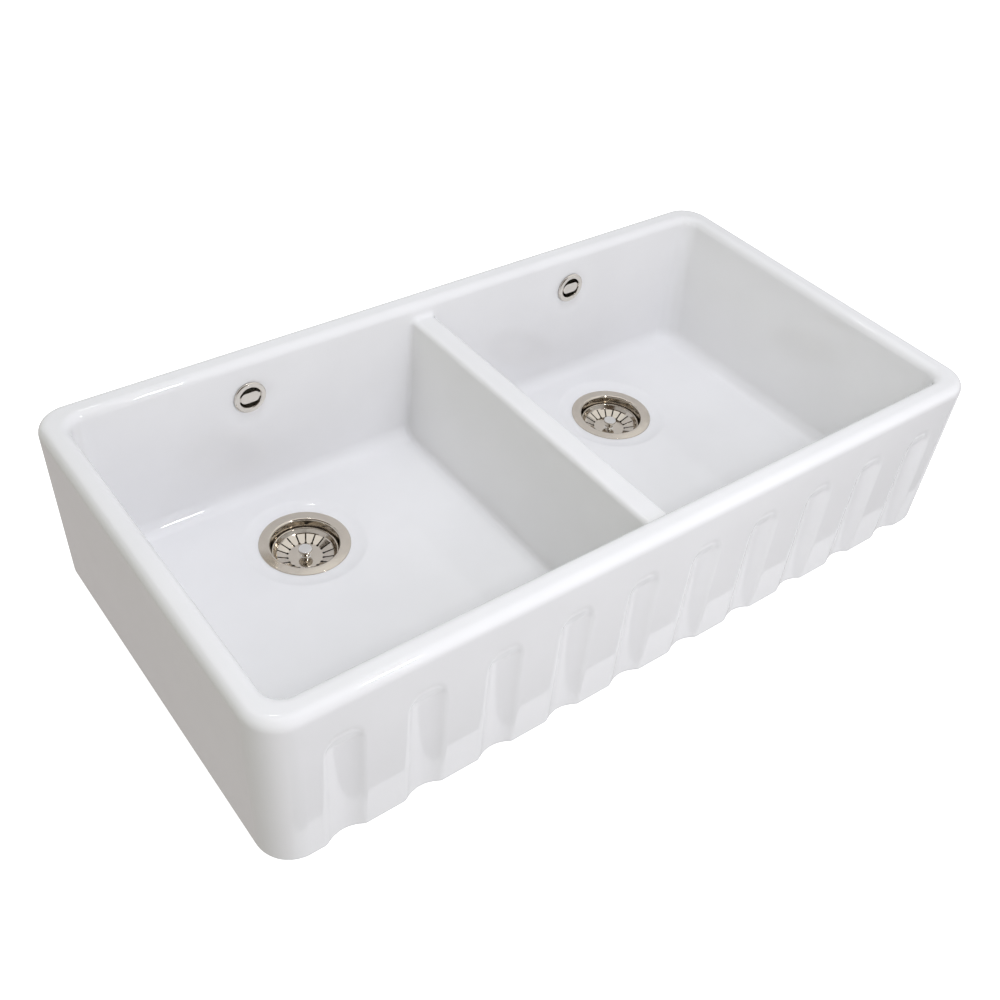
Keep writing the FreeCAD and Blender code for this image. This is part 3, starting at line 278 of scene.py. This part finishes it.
class SinkShape:
    """Distance from any point to the surface of the fireclay body."""

    def __init__(self, settings):
        self.s = settings
        # The sides lean, so the box is a hair narrower than the sides are at the rim's own level.
        self.half = 0.5 * round(2 * BODY_HIGH.x, 2)
        self.front = BODY_LOW.y
        self.back = BODY_HIGH.y
        self.height = BODY_HIGH.z

    def fluted_front(self, x, y, z):
        """Outer walls with the apron's flutes."""
        s = self.s
        lean = s.side_lean * (1 - z / self.height)
        walls = plan(x, y, self.half - lean, self.front, self.back, s.outer_corner)
        last = (s.flute_count - 1) / 2
        number = np.clip(np.rint(x / s.flute_pitch + last), 0, s.flute_count - 1)
        across = x - (number - last) * s.flute_pitch
        centre_y = self.front - s.flute_radius + s.flute_depth
        hollow = s.flute_radius - np.hypot(across, y - centre_y)
        slant = s.flute_depth / s.flute_runout
        share_across = np.minimum(np.abs(across) / s.arch_half, ARCH_REACH)
        arch = self.height - s.flute_drop - s.arch_rise * share_across ** 4
        steep = 4 * s.arch_rise / s.arch_half * share_across ** 3
        stretch = np.sqrt(1 + slant ** 2 * (1 + steep ** 2))
        ramp_up = (slant * (arch - z) - (y - self.front)) / stretch
        return meet(walls, join(hollow, ramp_up, s.crease_blend), s.flute_blend)

    def hollow_walls(self, x, y, z):
        """Everything solid round the bowls: walls, divider and floor."""
        s = self.s
        band = self.height - s.mouth_depth
        drop = ramp(band - z, BAND_BEND) / (band - s.floor_level)
        share_down = np.clip(drop, 0, 1)
        lean = s.bowl_lean * drop
        corner = s.mouth_corner + (s.floor_corner - s.mouth_corner) * share_down
        from_overflow = np.hypot(np.abs(x) - OVERFLOW_CENTRE[0], z - OVERFLOW_CENTRE[1])
        upright = ease(1 - (from_overflow - s.overflow_flat) / s.flat_ease)
        back_wall = self.back - s.back_rim - lean * (1 - upright)
        mouth = plan(
            x, y, self.half - s.side_rim - lean, self.front + s.front_rim + lean, back_wall, corner,
        )
        crest = z - (self.height - s.divider_drop)
        thick = s.divider_half + s.divider_lean * drop
        divider = meet(np.abs(x) - thick, crest, s.divider_round)
        from_waste = np.hypot(np.abs(x) - WASTE_CENTRE[0], y - WASTE_CENTRE[1])
        outer_edge = s.recess_radius + s.recess_slope
        inward = ramp(outer_edge - from_waste, DISH_BEND) / s.recess_slope
        dish = s.recess_depth * np.sin(np.clip(inward, 0, 1) * math.pi / 2)
        walls = join(-mouth, z - s.floor_level + dish, s.floor_round)
        return join(walls, divider, s.divider_foot)

    def cut_holes(self, solid, x, y, z):
        """The waste and overflow holes."""
        s = self.s
        from_waste = np.hypot(np.abs(x) - WASTE_CENTRE[0], y - WASTE_CENTRE[1])
        solid = meet(solid, s.waste_hole - from_waste, WASTE_EDGE_ROUND)
        from_overflow = np.hypot(np.abs(x) - OVERFLOW_CENTRE[0], z - OVERFLOW_CENTRE[1])
        inner_face = self.back - s.back_rim
        hole = np.maximum(from_overflow - s.overflow_hole, inner_face - OVERFLOW_CUT_START - y)
        return meet(solid, -hole, OVERFLOW_EDGE_ROUND)

    def distance(self, x, y, z):
        """Distance to the finished body, below zero inside it."""
        s = self.s
        rim = z - self.height
        outside = self.fluted_front(x, y, z)
        outside = meet(meet(outside, rim, s.rim_outer), -z, s.foot_round)
        inside = meet(self.hollow_walls(x, y, z), rim, s.rim_inner)
        return self.cut_holes(np.maximum(outside, inside), x, y, z)

    def slope(self, points):
        """Direction in which the distance grows, at each point."""
        made = np.empty_like(points)
        for axis in range(3):
            shift = np.zeros(3)
            shift[axis] = PROBE_REACH
            ahead = self.distance(*(points + shift).T)
            behind = self.distance(*(points - shift).T)
            made[:, axis] = (ahead - behind) / (2 * PROBE_REACH)
        return made

    def settle(self, points, rounds=4):
        """Move points onto the surface."""
        for _ in range(rounds):
            slope = self.slope(points)
            size = np.maximum((slope ** 2).sum(axis=1), LEAST_SLOPE)
            move = np.clip(self.distance(*points.T) / size, -LONGEST_MOVE, LONGEST_MOVE)
            points = points - slope * move[:, None]
        return points


def net_surface(shape, step):
    """Points and four-sided faces of the surface, from a regular grid round the body."""
    margin = GRID_MARGIN * step
    axes = []
    for start, end in zip(BODY_LOW, BODY_HIGH):
        count = int(math.ceil((end - start + 2 * margin) / step)) + 1
        axes.append(np.linspace(start - margin, end + margin, count))
    x, y, z = np.meshgrid(*axes, indexing="ij", sparse=True)
    field = shape.distance(x, y, z)
    solid = field < 0
    counts = np.zeros([n - 1 for n in solid.shape], dtype=np.int8)
    corners = [(i, j, k) for i in (0, 1) for j in (0, 1) for k in (0, 1)]
    wide, deep, high = counts.shape
    for i, j, k in corners:
        counts += solid[i:wide + i, j:deep + j, k:high + k]
    cells = np.argwhere((counts > 0) & (counts < 8))
    number = np.full(counts.shape, -1, dtype=np.int64)
    number[tuple(cells.T)] = np.arange(len(cells))
    total = np.zeros((len(cells), 3))
    hits = np.zeros(len(cells))
    steps = np.array([axis[1] - axis[0] for axis in axes])
    for first in corners:
        for axis in range(3):
            if first[axis]:
                continue
            second = list(first)
            second[axis] = 1
            a = field[tuple((cells + first).T)]
            b = field[tuple((cells + second).T)]
            crossed = (a < 0) != (b < 0)
            share_along = np.where(crossed, a / np.where(crossed, a - b, 1), 0)
            place = np.tile(np.array(first, dtype=float), (len(cells), 1))
            place[:, axis] = share_along
            total += place * crossed[:, None]
            hits += crossed
    origin = np.array([axis[0] for axis in axes])
    points = origin + (cells + total / hits[:, None]) * steps
    return points, net_faces(solid, number)


def net_faces(solid, number):
    """One face for each grid edge that crosses the surface."""
    faces = []
    for axis in range(3):
        along = np.moveaxis(solid, axis, 0)
        cells = np.moveaxis(number, axis, 0)
        near = along[:-1, 1:-1, 1:-1]
        far = along[1:, 1:-1, 1:-1]
        i, j, k = np.argwhere(near != far).T
        quad = np.stack(
            [cells[i, j, k], cells[i, j + 1, k], cells[i, j + 1, k + 1], cells[i, j, k + 1]], axis=1
        )
        outward = near[i, j, k] != (axis == 1)
        faces.append(np.where(outward[:, None], quad, quad[:, ::-1]))
    return np.concatenate(faces)


def mesh_from(name, points, faces):
    """A mesh from arrays of points and of faces."""
    mesh = bpy.data.meshes.new(name)
    sides = faces.shape[1]
    mesh.vertices.add(len(points))
    mesh.vertices.foreach_set("co", points.astype(np.float32).ravel())
    mesh.loops.add(faces.size)
    mesh.loops.foreach_set("vertex_index", faces.astype(np.int32).ravel())
    mesh.polygons.add(len(faces))
    mesh.polygons.foreach_set("loop_start", np.arange(0, faces.size, sides, dtype=np.int32))
    mesh.update(calc_edges=True)
    return mesh


def mesh_points(mesh):
    """The points of a mesh as an array."""
    points = np.empty(len(mesh.vertices) * 3)
    mesh.vertices.foreach_get("co", points)
    return points.reshape(-1, 3)


def fewer_faces(piece, keep):
    """Drop faces where the surface is flat."""
    modifier = piece.modifiers.new("fewer", "DECIMATE")
    modifier.ratio = keep
    graph = bpy.context.evaluated_depsgraph_get()
    mesh = bpy.data.meshes.new_from_object(piece.evaluated_get(graph))
    piece.modifiers.clear()
    old = piece.data
    piece.data = mesh
    bpy.data.meshes.remove(old)


def link(name, mesh):
    """An object with this mesh, put in the scene."""
    piece = bpy.data.objects.new(name, mesh)
    bpy.context.scene.collection.objects.link(piece)
    return piece


def flat_sheet(name, points):
    """An object with one four-sided face."""
    return link(name, mesh_from(name, np.array(points, dtype=float), np.array([[0, 1, 2, 3]])))


# ------------------------------------------------------------------ finishes


class Finish:
    """A material and short ways to add nodes to it."""

    def __init__(self, name):
        self.material = bpy.data.materials.new(name)
        self.material.use_nodes = True
        self.nodes = self.material.node_tree.nodes
        self.links = self.material.node_tree.links
        self.nodes.clear()
        self.output = self.nodes.new("ShaderNodeOutputMaterial")
        self.shader = self.nodes.new("ShaderNodeBsdfPrincipled")
        self.links.new(self.shader.outputs[0], self.output.inputs[0])

    def node(self, kind, **values):
        """A new shader node with its options set."""
        made = self.nodes.new("ShaderNode" + kind)
        for key, value in values.items():
            setattr(made, key, value)
        return made

    def feed(self, socket, value):
        """Link a socket, or set its value."""
        if isinstance(value, bpy.types.NodeSocket):
            self.links.new(value, socket)
        else:
            socket.default_value = value

    def set(self, **values):
        """Set sockets of the shader by name, with _ for a space."""
        for key, value in values.items():
            socket = self.shader.inputs[key.replace("_", " ")]
            if socket.type == "RGBA" and not isinstance(value, bpy.types.NodeSocket):
                value = (*value[:3], 1)
            self.feed(socket, value)

    def math(self, operation, a, b=0.0):
        """One step of arithmetic."""
        made = self.node("Math", operation=operation)
        self.feed(made.inputs[0], a)
        self.feed(made.inputs[1], b)
        return made.outputs[0]

    def position(self):
        """Place on the piece, in metres."""
        return self.node("TexCoord").outputs["Object"]

    def noise(self, vector, scale, detail=2.0, roughness=0.5):
        """Cloudy noise; the scale is in clouds per metre."""
        made = self.node("TexNoise")
        self.feed(made.inputs["Vector"], vector)
        made.inputs["Scale"].default_value = scale
        made.inputs["Detail"].default_value = detail
        made.inputs["Roughness"].default_value = roughness
        return made.outputs[0]

    def between(self, value, low, high, from_low=0.0, from_high=1.0):
        """Stretch a value to lie between two numbers."""
        made = self.node("MapRange")
        self.feed(made.inputs[0], value)
        made.inputs[1].default_value = from_low
        made.inputs[2].default_value = from_high
        made.inputs[3].default_value = low
        made.inputs[4].default_value = high
        return made.outputs[0]

    def rising(self, value, start, full, most=1.0):
        """Nothing up to start, rising to most at full."""
        return self.between(value, 0.0, most, start, full)

    def mix(self, share_of_second, first, second):
        """Blend two colours."""
        made = self.node("MixRGB")
        self.feed(made.inputs[0], share_of_second)
        for socket, value in zip(made.inputs[1:3], (first, second)):
            self.feed(socket, value if isinstance(value, bpy.types.NodeSocket) else (*value[:3], 1))
        return made.outputs[0]

    def bump(self, height, distance, below=None):
        """Surface waves of a height in metres, on top of other waves if given."""
        made = self.node("Bump")
        made.inputs["Strength"].default_value = 1.0
        made.inputs["Distance"].default_value = distance
        self.feed(made.inputs["Height"], height)
        if below is not None:
            self.links.new(below, made.inputs["Normal"])
        return made.outputs[0]

    def round_axis(self, centre, upright):
        """Coordinates that run round an axis: distance from it, angle and height."""
        split = self.node("SeparateXYZ")
        self.links.new(self.position(), split.inputs[0])
        across = self.math("SUBTRACT", self.math("ABSOLUTE", split.outputs[0]), centre[0])
        other, height = (1, 2) if upright else (2, 1)
        up = self.math("SUBTRACT", split.outputs[other], centre[1])
        squares = self.math("ADD", self.math("MULTIPLY", across, across), self.math("MULTIPLY", up, up))
        radius = self.math("SQRT", squares)
        angle = self.math("ARCTAN2", up, across)
        return radius, angle, split.outputs[height]

    def painted_shade_mask(self, centre, low, least=0.05):
        """Painted shade mask: one where a surface faces up or towards an upright axis and lies above a
        height.
        """
        split = self.node("SeparateXYZ")
        self.links.new(self.position(), split.inputs[0])
        facing = self.node("SeparateXYZ")
        self.links.new(self.node("TexCoord").outputs["Normal"], facing.inputs[0])
        side = self.math("SIGN", split.outputs[0])
        across = self.math("SUBTRACT", split.outputs[0], self.math("MULTIPLY", side, centre[0]))
        up = self.math("SUBTRACT", split.outputs[1], centre[1])
        outward = self.math(
            "ADD",
            self.math("MULTIPLY", across, facing.outputs[0]),
            self.math("MULTIPLY", up, facing.outputs[1]),
        )
        radius = self.round_axis(centre, True)[0]
        inward = self.math("SUBTRACT", facing.outputs[2], self.math("DIVIDE", outward, radius))
        painted_shade = self.math("GREATER_THAN", inward, least)
        return self.math("MULTIPLY", painted_shade, self.math("GREATER_THAN", split.outputs[2], low))

    def turned_marks(self, centre, upright, scale, along=0.35):
        """Fine lines that run round an axis, with a slow change of tone along them."""
        radius, angle, height = self.round_axis(centre, upright)
        vector = self.node("CombineXYZ")
        self.links.new(self.math("MULTIPLY", radius, scale), vector.inputs[0])
        self.links.new(self.math("MULTIPLY", angle, along), vector.inputs[1])
        self.links.new(self.math("MULTIPLY", height, scale), vector.inputs[2])
        return self.noise(vector.outputs[0], scale=1.0, detail=3.0, roughness=0.6)


def lighter(value, factor):
    """A colour made lighter, or darker with a factor below 1."""
    return tuple(min(1.0, max(0.0, channel * factor)) for channel in value[:3])


def glaze(settings):
    """Thick white glaze: slow ripples, a faint orange peel and a few specks."""
    finish = Finish("white_glaze")
    place = finish.position()
    cloud = finish.rising(finish.noise(place, scale=9.0, detail=3.0), start=0.35, full=0.65)
    tone = finish.mix(cloud, lighter(settings.glaze, 0.985), lighter(settings.glaze, 1.01))
    specks = finish.rising(finish.noise(place, scale=900.0, detail=1.0), start=0.80, full=0.84, most=0.5)
    tone = finish.mix(specks, tone, lighter(settings.glaze, 0.86))
    ripple = finish.bump(finish.noise(place, scale=11.0, detail=1.0), settings.ripple)
    peel = finish.bump(finish.noise(place, scale=160.0, detail=1.0), settings.ripple * 0.02, ripple)
    drift = finish.noise(place, scale=24.0)
    gloss = finish.between(drift, low=settings.gloss * 0.8, high=settings.gloss * 1.25)
    finish.set(Base_Color=tone, Roughness=gloss, Normal=peel, IOR=1.5)
    return finish.material


def stamped_sheet(settings, centre):
    """Stamped stainless sheet with marks that run round it and a little water stain."""
    finish = Finish("stamped_sheet")
    place = finish.position()
    marks = finish.turned_marks(centre, upright=True, scale=900.0)
    stain_and_shade = finish.rising(finish.noise(place, scale=70.0, detail=3.0), start=0.4, full=0.7)
    tone = finish.mix(marks, lighter(settings.sheet, 0.94), lighter(settings.sheet, 1.04))
    tone = finish.mix(finish.math("MULTIPLY", stain_and_shade, 0.25), tone, lighter(settings.sheet, 0.86))
    polish = settings.sheet_roughness
    rough = finish.between(marks, low=polish * 0.8, high=polish * 1.3)
    rough = finish.math("ADD", rough, finish.math("MULTIPLY", stain_and_shade, 0.05))
    normal = finish.bump(marks, distance=0.00001)
    finish.set(Base_Color=tone, Metallic=1.0, Roughness=rough, Normal=normal)
    return finish.material


def turned_steel(settings, centre):
    """Bright turned steel with lathe marks."""
    finish = Finish("turned_steel")
    marks = finish.turned_marks(centre, upright=True, scale=1500.0)
    tone = finish.mix(marks, lighter(settings.turned, 0.95), lighter(settings.turned, 1.03))
    polish = settings.turned_roughness
    rough = finish.between(marks, low=polish * 0.7, high=polish * 1.5)
    normal = finish.bump(marks, distance=0.000006)
    finish.set(Base_Color=tone, Metallic=1.0, Roughness=rough, Normal=normal)
    return finish.material


def plating(settings, centre):
    """Plated casting with a faint drift of tone."""
    finish = Finish("plated_ring")
    place = finish.position()
    drift = finish.noise(place, scale=45.0)
    tone = finish.mix(drift, lighter(settings.plated, 0.95), lighter(settings.plated, 1.05))
    marks = finish.turned_marks(centre, upright=False, scale=700.0)
    polish = settings.plated_roughness
    rough = finish.between(marks, low=polish * 0.7, high=polish * 1.4)
    normal = finish.bump(drift, distance=0.00002)
    finish.set(Base_Color=tone, Metallic=1.0, Roughness=rough, Normal=normal)
    return finish.material


def machined_brass(settings):
    """Machined brass, a little dull in places."""
    finish = Finish("machined_brass")
    place = finish.position()
    dull = finish.rising(finish.noise(place, scale=260.0, detail=3.0), start=0.4, full=0.7)
    tone = finish.mix(dull, settings.brass, lighter(settings.brass, 0.72))
    rough = finish.between(dull, low=0.24, high=0.42)
    normal = finish.bump(dull, distance=0.00002)
    finish.set(Base_Color=tone, Metallic=1.0, Roughness=rough, Normal=normal)
    return finish.material


def moulded_plastic(name, shade, grain, stain_and_shade=None, painted_shade_low=0.0):
    """Moulded plastic with a fine grain, and with painted shade, if its colour is given, inside the waste
    above a height.
    """
    finish = Finish(name)
    place = finish.position()
    fine = finish.noise(place, scale=grain)
    drift = finish.noise(place, scale=22.0)
    tone = finish.mix(drift, lighter(shade, 0.96), lighter(shade, 1.03))
    if stain_and_shade:
        # Painted shade: the inside of the waste above the height is darkened to near black, where shade
        # falls in the hole.
        painted_shade = finish.painted_shade_mask(WASTE_CENTRE, painted_shade_low)
        tone = finish.mix(painted_shade, tone, finish.mix(drift, stain_and_shade, lighter(stain_and_shade, 1.8)))
    rough = finish.between(fine, low=0.38, high=0.52)
    normal = finish.bump(fine, distance=0.00003)
    finish.set(Base_Color=tone, Roughness=rough, Normal=normal, IOR=1.49)
    return finish.material


def black_rubber(settings):
    """Moulded rubber with a dusty bloom."""
    finish = Finish("black_rubber")
    place = finish.position()
    bloom = finish.rising(finish.noise(place, scale=120.0, detail=4.0), start=0.45, full=0.8)
    tone = finish.mix(bloom, settings.rubber, lighter(settings.rubber, 1.9))
    rough = finish.between(bloom, low=0.55, high=0.75)
    fine = finish.noise(place, scale=1800.0, detail=1.0)
    normal = finish.bump(fine, distance=0.00002)
    finish.set(Base_Color=tone, Roughness=rough, Normal=normal, IOR=1.5)
    return finish.material


def dress(pieces, material):
    """Give CAD pieces of both sides a finish."""
    for side in SIDES:
        for piece in pieces:
            mesh = NODES[side + "_" + piece].data
            mesh.materials.clear()
            mesh.materials.append(material)


# ------------------------------------------------------------------ studio


def studio_floor(settings):
    """A pale floor under the waste tails that shows white round the object."""
    level = CAD_BOX[0].z - FLOOR_GAP
    signs = [(-1, -1), (1, -1), (1, 1), (-1, 1)]
    points = [(across * FLOOR_REACH, along * FLOOR_REACH, level) for across, along in signs]
    floor = flat_sheet("studio_floor", points)
    finish = Finish("floor_paint")
    finish.set(Base_Color=settings.floor, Roughness=1.0, Specular_IOR_Level=0.0)
    path = finish.node("LightPath")
    mirrored = finish.math("MAXIMUM", path.outputs["Is Glossy Ray"], path.outputs["Is Transmission Ray"])
    direct = finish.math("MULTIPLY", path.outputs["Is Camera Ray"], settings.floor_lift)
    seen = finish.math("ADD", direct, finish.math("MULTIPLY", mirrored, settings.mirror_lift))
    glow = finish.node("Emission")
    glow.inputs[0].default_value = (1, 1, 1, 1)
    finish.links.new(seen, glow.inputs[1])
    both = finish.node("AddShader")
    finish.links.new(finish.shader.outputs[0], both.inputs[0])
    finish.links.new(glow.outputs[0], both.inputs[1])
    finish.links.new(both.outputs[0], finish.output.inputs[0])
    floor.data.materials.append(finish.material)


def mirror_card(name, points, shade):
    """A card that is only seen mirrored in glaze and metal, and that blocks no light."""
    card = flat_sheet(name, points)
    finish = Finish(name)
    glow = finish.node("Emission")
    glow.inputs[0].default_value = (*shade, 1)
    finish.links.new(glow.outputs[0], finish.output.inputs[0])
    card.data.materials.append(finish.material)
    card.visible_camera = False
    card.visible_diffuse = False
    card.visible_shadow = False
    card.visible_transmission = False


def mirrored_workshop(settings):
    """The darker floor left of and before the white table, and the dim room behind the camera."""
    level = CAD_BOX[0].z - CARD_GAP
    left = BODY_LOW.x + TABLE_LEFT
    front = BODY_LOW.y - TABLE_FRONT
    far, high = CARD_REACH, CARD_HEIGHT
    mirror_card("floor_left", [
        (-far, -far, level), (left, -far, level), (left, far, level), (-far, far, level),
    ], settings.left_floor)
    mirror_card("floor_front", [
        (left, -far, level), (far, -far, level), (far, front, level), (left, front, level),
    ], settings.front_floor)
    corner, end, side = (-3.2, -3.2), (1.0, -3.6), (-3.2, far)
    mirror_card("room_front", [
        (*corner, level), (*end, level), (*end, high), (*corner, high),
    ], settings.mirrored_room)
    mirror_card("room_left", [
        (*side, level), (*corner, level), (*corner, high), (*side, high),
    ], settings.mirrored_room)


def studio_world(settings):
    """White all round for the eye, and a plain soft light for the object."""
    world = bpy.data.worlds.new("studio")
    bpy.context.scene.world = world
    world.use_nodes = True
    nodes, links = world.node_tree.nodes, world.node_tree.links
    nodes.clear()
    output = nodes.new("ShaderNodeOutputWorld")
    light = nodes.new("ShaderNodeBackground")
    light.inputs[0].default_value = (*settings.world, 1)
    light.inputs[1].default_value = settings.world_strength
    white = nodes.new("ShaderNodeBackground")
    white.inputs[0].default_value = (1, 1, 1, 1)
    path = nodes.new("ShaderNodeLightPath")
    largest = nodes.new("ShaderNodeMath")
    largest.operation = "MAXIMUM"
    links.new(path.outputs["Is Camera Ray"], largest.inputs[0])
    links.new(path.outputs["Is Glossy Ray"], largest.inputs[1])
    most = nodes.new("ShaderNodeMath")
    most.operation = "MAXIMUM"
    links.new(largest.outputs[0], most.inputs[0])
    links.new(path.outputs["Is Transmission Ray"], most.inputs[1])
    mixed = nodes.new("ShaderNodeMixShader")
    links.new(most.outputs[0], mixed.inputs[0])
    links.new(light.outputs[0], mixed.inputs[1])
    links.new(white.outputs[0], mixed.inputs[2])
    links.new(mixed.outputs[0], output.inputs[0])


def softbox(name, place, wide, high, brightness, shade, mirrored):
    """A rectangular lamp that faces the middle of the sink, and is seen in mirrors or not."""
    lamp = bpy.data.lights.new(name, "AREA")
    lamp.shape = "RECTANGLE"
    lamp.size = wide
    lamp.size_y = high
    lamp.energy = brightness * math.pi * wide * high
    lamp.color = shade
    made = bpy.data.objects.new(name, lamp)
    bpy.context.scene.collection.objects.link(made)
    made.location = place
    target = (BODY_LOW + BODY_HIGH) / 2
    target.y = 0.0
    made.rotation_mode = "QUATERNION"
    made.rotation_quaternion = (target - Vector(place)).to_track_quat("-Z", "Y")
    made.visible_glossy = mirrored


def studio_lights(settings):
    """Large soft lamps, and two small ones that draw the bright lines in the glaze."""
    blue = (0.90, 0.93, 1.0)
    bluer = (0.86, 0.86, 1.0)
    white = (1.0, 1.0, 1.0)
    warm = (0.98, 1.0, 0.75)
    # Name, place, width, height, brightness and colour of each lamp.
    soft = (
        ("overhead_light", (0.0, 0.0, 2.6), 0.8, 0.8, settings.overhead, blue),
        ("front_high_light", (0.0, -2.1, 2.0), 1.6, 1.2, settings.front_high, bluer),
        ("front_low_light", (0.2, -2.4, 0.5), 1.6, 0.8, settings.front_low, white),
        ("left_light", (-2.6, 0.0, 1.1), 1.8, 1.4, settings.left, warm),
        ("back_light", (0.0, 2.6, 1.3), 1.8, 1.4, settings.back, blue),
        ("window_light", (-1.2, 1.3, 2.2), 1.0, 1.0, settings.window, blue),
    )
    small = (
        ("key_light", (0.05, -0.9, 1.1), 0.12, 0.12, settings.key, white),
        ("rear_light", (0.0, 0.85, 2.1), 0.09, 0.09, settings.rear, white),
    )
    for lamp in soft:
        softbox(*lamp, mirrored=False)
    for lamp in small:
        softbox(*lamp, mirrored=True)


# Camera place in metres and its turns in radians, solved from straight edges and round fittings.
CAMERA_PLACE = (-0.742605, -0.827005, 1.030588)
CAMERA_TURN = 0.7139
CAMERA_TILT = 0.7487
CAMERA_ROLL = 0.1045


def studio_camera(settings):
    """The camera at the photograph's place and angle."""
    forward = Vector((
        math.sin(CAMERA_TURN) * math.cos(CAMERA_TILT),
        math.cos(CAMERA_TURN) * math.cos(CAMERA_TILT),
        -math.sin(CAMERA_TILT),
    ))
    level_right = Vector((math.cos(CAMERA_TURN), -math.sin(CAMERA_TURN), 0))
    level_up = level_right.cross(forward)
    right = level_right * math.cos(CAMERA_ROLL) + level_up * math.sin(CAMERA_ROLL)
    up = level_up * math.cos(CAMERA_ROLL) - level_right * math.sin(CAMERA_ROLL)
    data = bpy.data.cameras.new("photo_view")
    data.sensor_width = SENSOR_WIDTH
    data.lens = settings.lens
    data.shift_x = settings.shift_x
    data.shift_y = settings.shift_y
    camera = bpy.data.objects.new("photo_view", data)
    bpy.context.scene.collection.objects.link(camera)
    turn = Matrix((right, up, -forward)).transposed().to_4x4()
    camera.matrix_world = Matrix.Translation(CAMERA_PLACE) @ turn
    bpy.context.scene.camera = camera


# ------------------------------------------------------------------ operators


class SINK_OT_fireclay(bpy.types.Operator):
    """Build the glazed fireclay body"""

    bl_idname = "sink.fireclay"
    bl_label = "Fireclay body"

    def execute(self, context):
        settings = context.scene.sink_fireclay
        shape = SinkShape(settings)
        points, faces = net_surface(shape, settings.mesh_step)
        points = shape.settle(points)
        piece = link("glazed_sink", mesh_from("glazed_sink", points, faces))
        fewer_faces(piece, settings.mesh_share)
        mesh = piece.data
        points = shape.settle(mesh_points(mesh), rounds=3)
        mesh.vertices.foreach_set("co", points.astype(np.float32).ravel())
        slope = shape.slope(points)
        slope /= np.linalg.norm(slope, axis=1)[:, None]
        mesh.shade_smooth()
        mesh.normals_split_custom_set_from_vertices(slope.tolist())
        mesh.update()
        mesh.materials.clear()
        mesh.materials.append(glaze(settings))
        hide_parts("sink_body")
        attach(piece, "sink")
        return {"FINISHED"}


class SINK_OT_wastes(bpy.types.Operator):
    """Finish the strainer bowls, baskets, knobs and screws"""

    bl_idname = "sink.wastes"
    bl_label = "Strainer wastes"

    def execute(self, context):
        settings = context.scene.sink_metal
        dress(SHEET_PIECES, stamped_sheet(settings, WASTE_CENTRE))
        dress(TURNED_PIECES, turned_steel(settings, WASTE_CENTRE))
        dress(BRASS_PIECES, machined_brass(settings))
        return {"FINISHED"}


class SINK_OT_overflows(bpy.types.Operator):
    """Finish the overflow rings"""

    bl_idname = "sink.overflows"
    bl_label = "Overflow rings"

    def execute(self, context):
        dress(("overflow_ring",), plating(context.scene.sink_metal, OVERFLOW_CENTRE))
        return {"FINISHED"}


class SINK_OT_fittings(bpy.types.Operator):
    """Finish the mouldings, clips, seals and washers"""

    bl_idname = "sink.fittings"
    bl_label = "Mouldings and seals"

    def execute(self, context):
        settings = context.scene.sink_fittings
        # The waste bodies get painted shade inside, near black from their top down to this height.
        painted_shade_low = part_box("right_waste_body")[1][2] - settings.painted_shade_depth
        white, nylon = settings.moulding, settings.nylon
        painted_shade = moulded_plastic("shade_painted_moulding", white, 1500.0, settings.stain_and_shade, painted_shade_low)
        dress(("waste_body",), painted_shade)
        dress(("overflow_elbow",), moulded_plastic("white_moulding", white, grain=1500.0))
        dress(("stem_clip",), moulded_plastic("nylon", nylon, grain=2500.0))
        dress(RUBBER_PIECES, black_rubber(settings))
        return {"FINISHED"}


class SINK_OT_studio(bpy.types.Operator):
    """Build the floor, lights, surroundings and camera"""

    bl_idname = "sink.studio"
    bl_label = "Studio"

    def execute(self, context):
        settings = context.scene.sink_studio
        studio_floor(settings)
        mirrored_workshop(settings)
        studio_world(settings)
        studio_lights(settings)
        studio_camera(settings)
        context.scene.view_settings.view_transform = "Standard"
        return {"FINISHED"}


OPERATORS = (SINK_OT_fireclay, SINK_OT_wastes, SINK_OT_overflows, SINK_OT_fittings, SINK_OT_studio)


class SINK_PT_panel(bpy.types.Panel):
    """The sink's pieces and settings"""

    bl_idname = "SINK_PT_panel"
    bl_label = "Apron front sink"
    bl_space_type = "VIEW_3D"
    bl_region_type = "UI"
    bl_category = "Sink"

    def draw(self, context):
        for operator in OPERATORS:
            self.layout.operator(operator.bl_idname)
        for name in SETTINGS:
            group = getattr(context.scene, name)
            box = self.layout.box()
            for key in group.__annotations__:
                box.prop(group, key)


SETTINGS = {
    "sink_fireclay": FireclaySettings,
    "sink_metal": MetalSettings,
    "sink_fittings": FittingSettings,
    "sink_studio": StudioSettings,
}


def register():
    for kind in (*SETTINGS.values(), *OPERATORS, SINK_PT_panel):
        bpy.utils.register_class(kind)
    for name, kind in SETTINGS.items():
        setattr(bpy.types.Scene, name, bpy.props.PointerProperty(type=kind))


def unregister():
    for name in SETTINGS:
        delattr(bpy.types.Scene, name)
    for kind in (SINK_PT_panel, *reversed(OPERATORS), *reversed(list(SETTINGS.values()))):
        bpy.utils.unregister_class(kind)


def main():
    register()
    bpy.ops.sink.fireclay()
    bpy.ops.sink.wastes()
    bpy.ops.sink.overflows()
    bpy.ops.sink.fittings()
    bpy.ops.sink.studio()


if __name__ == "__main__":
    main()
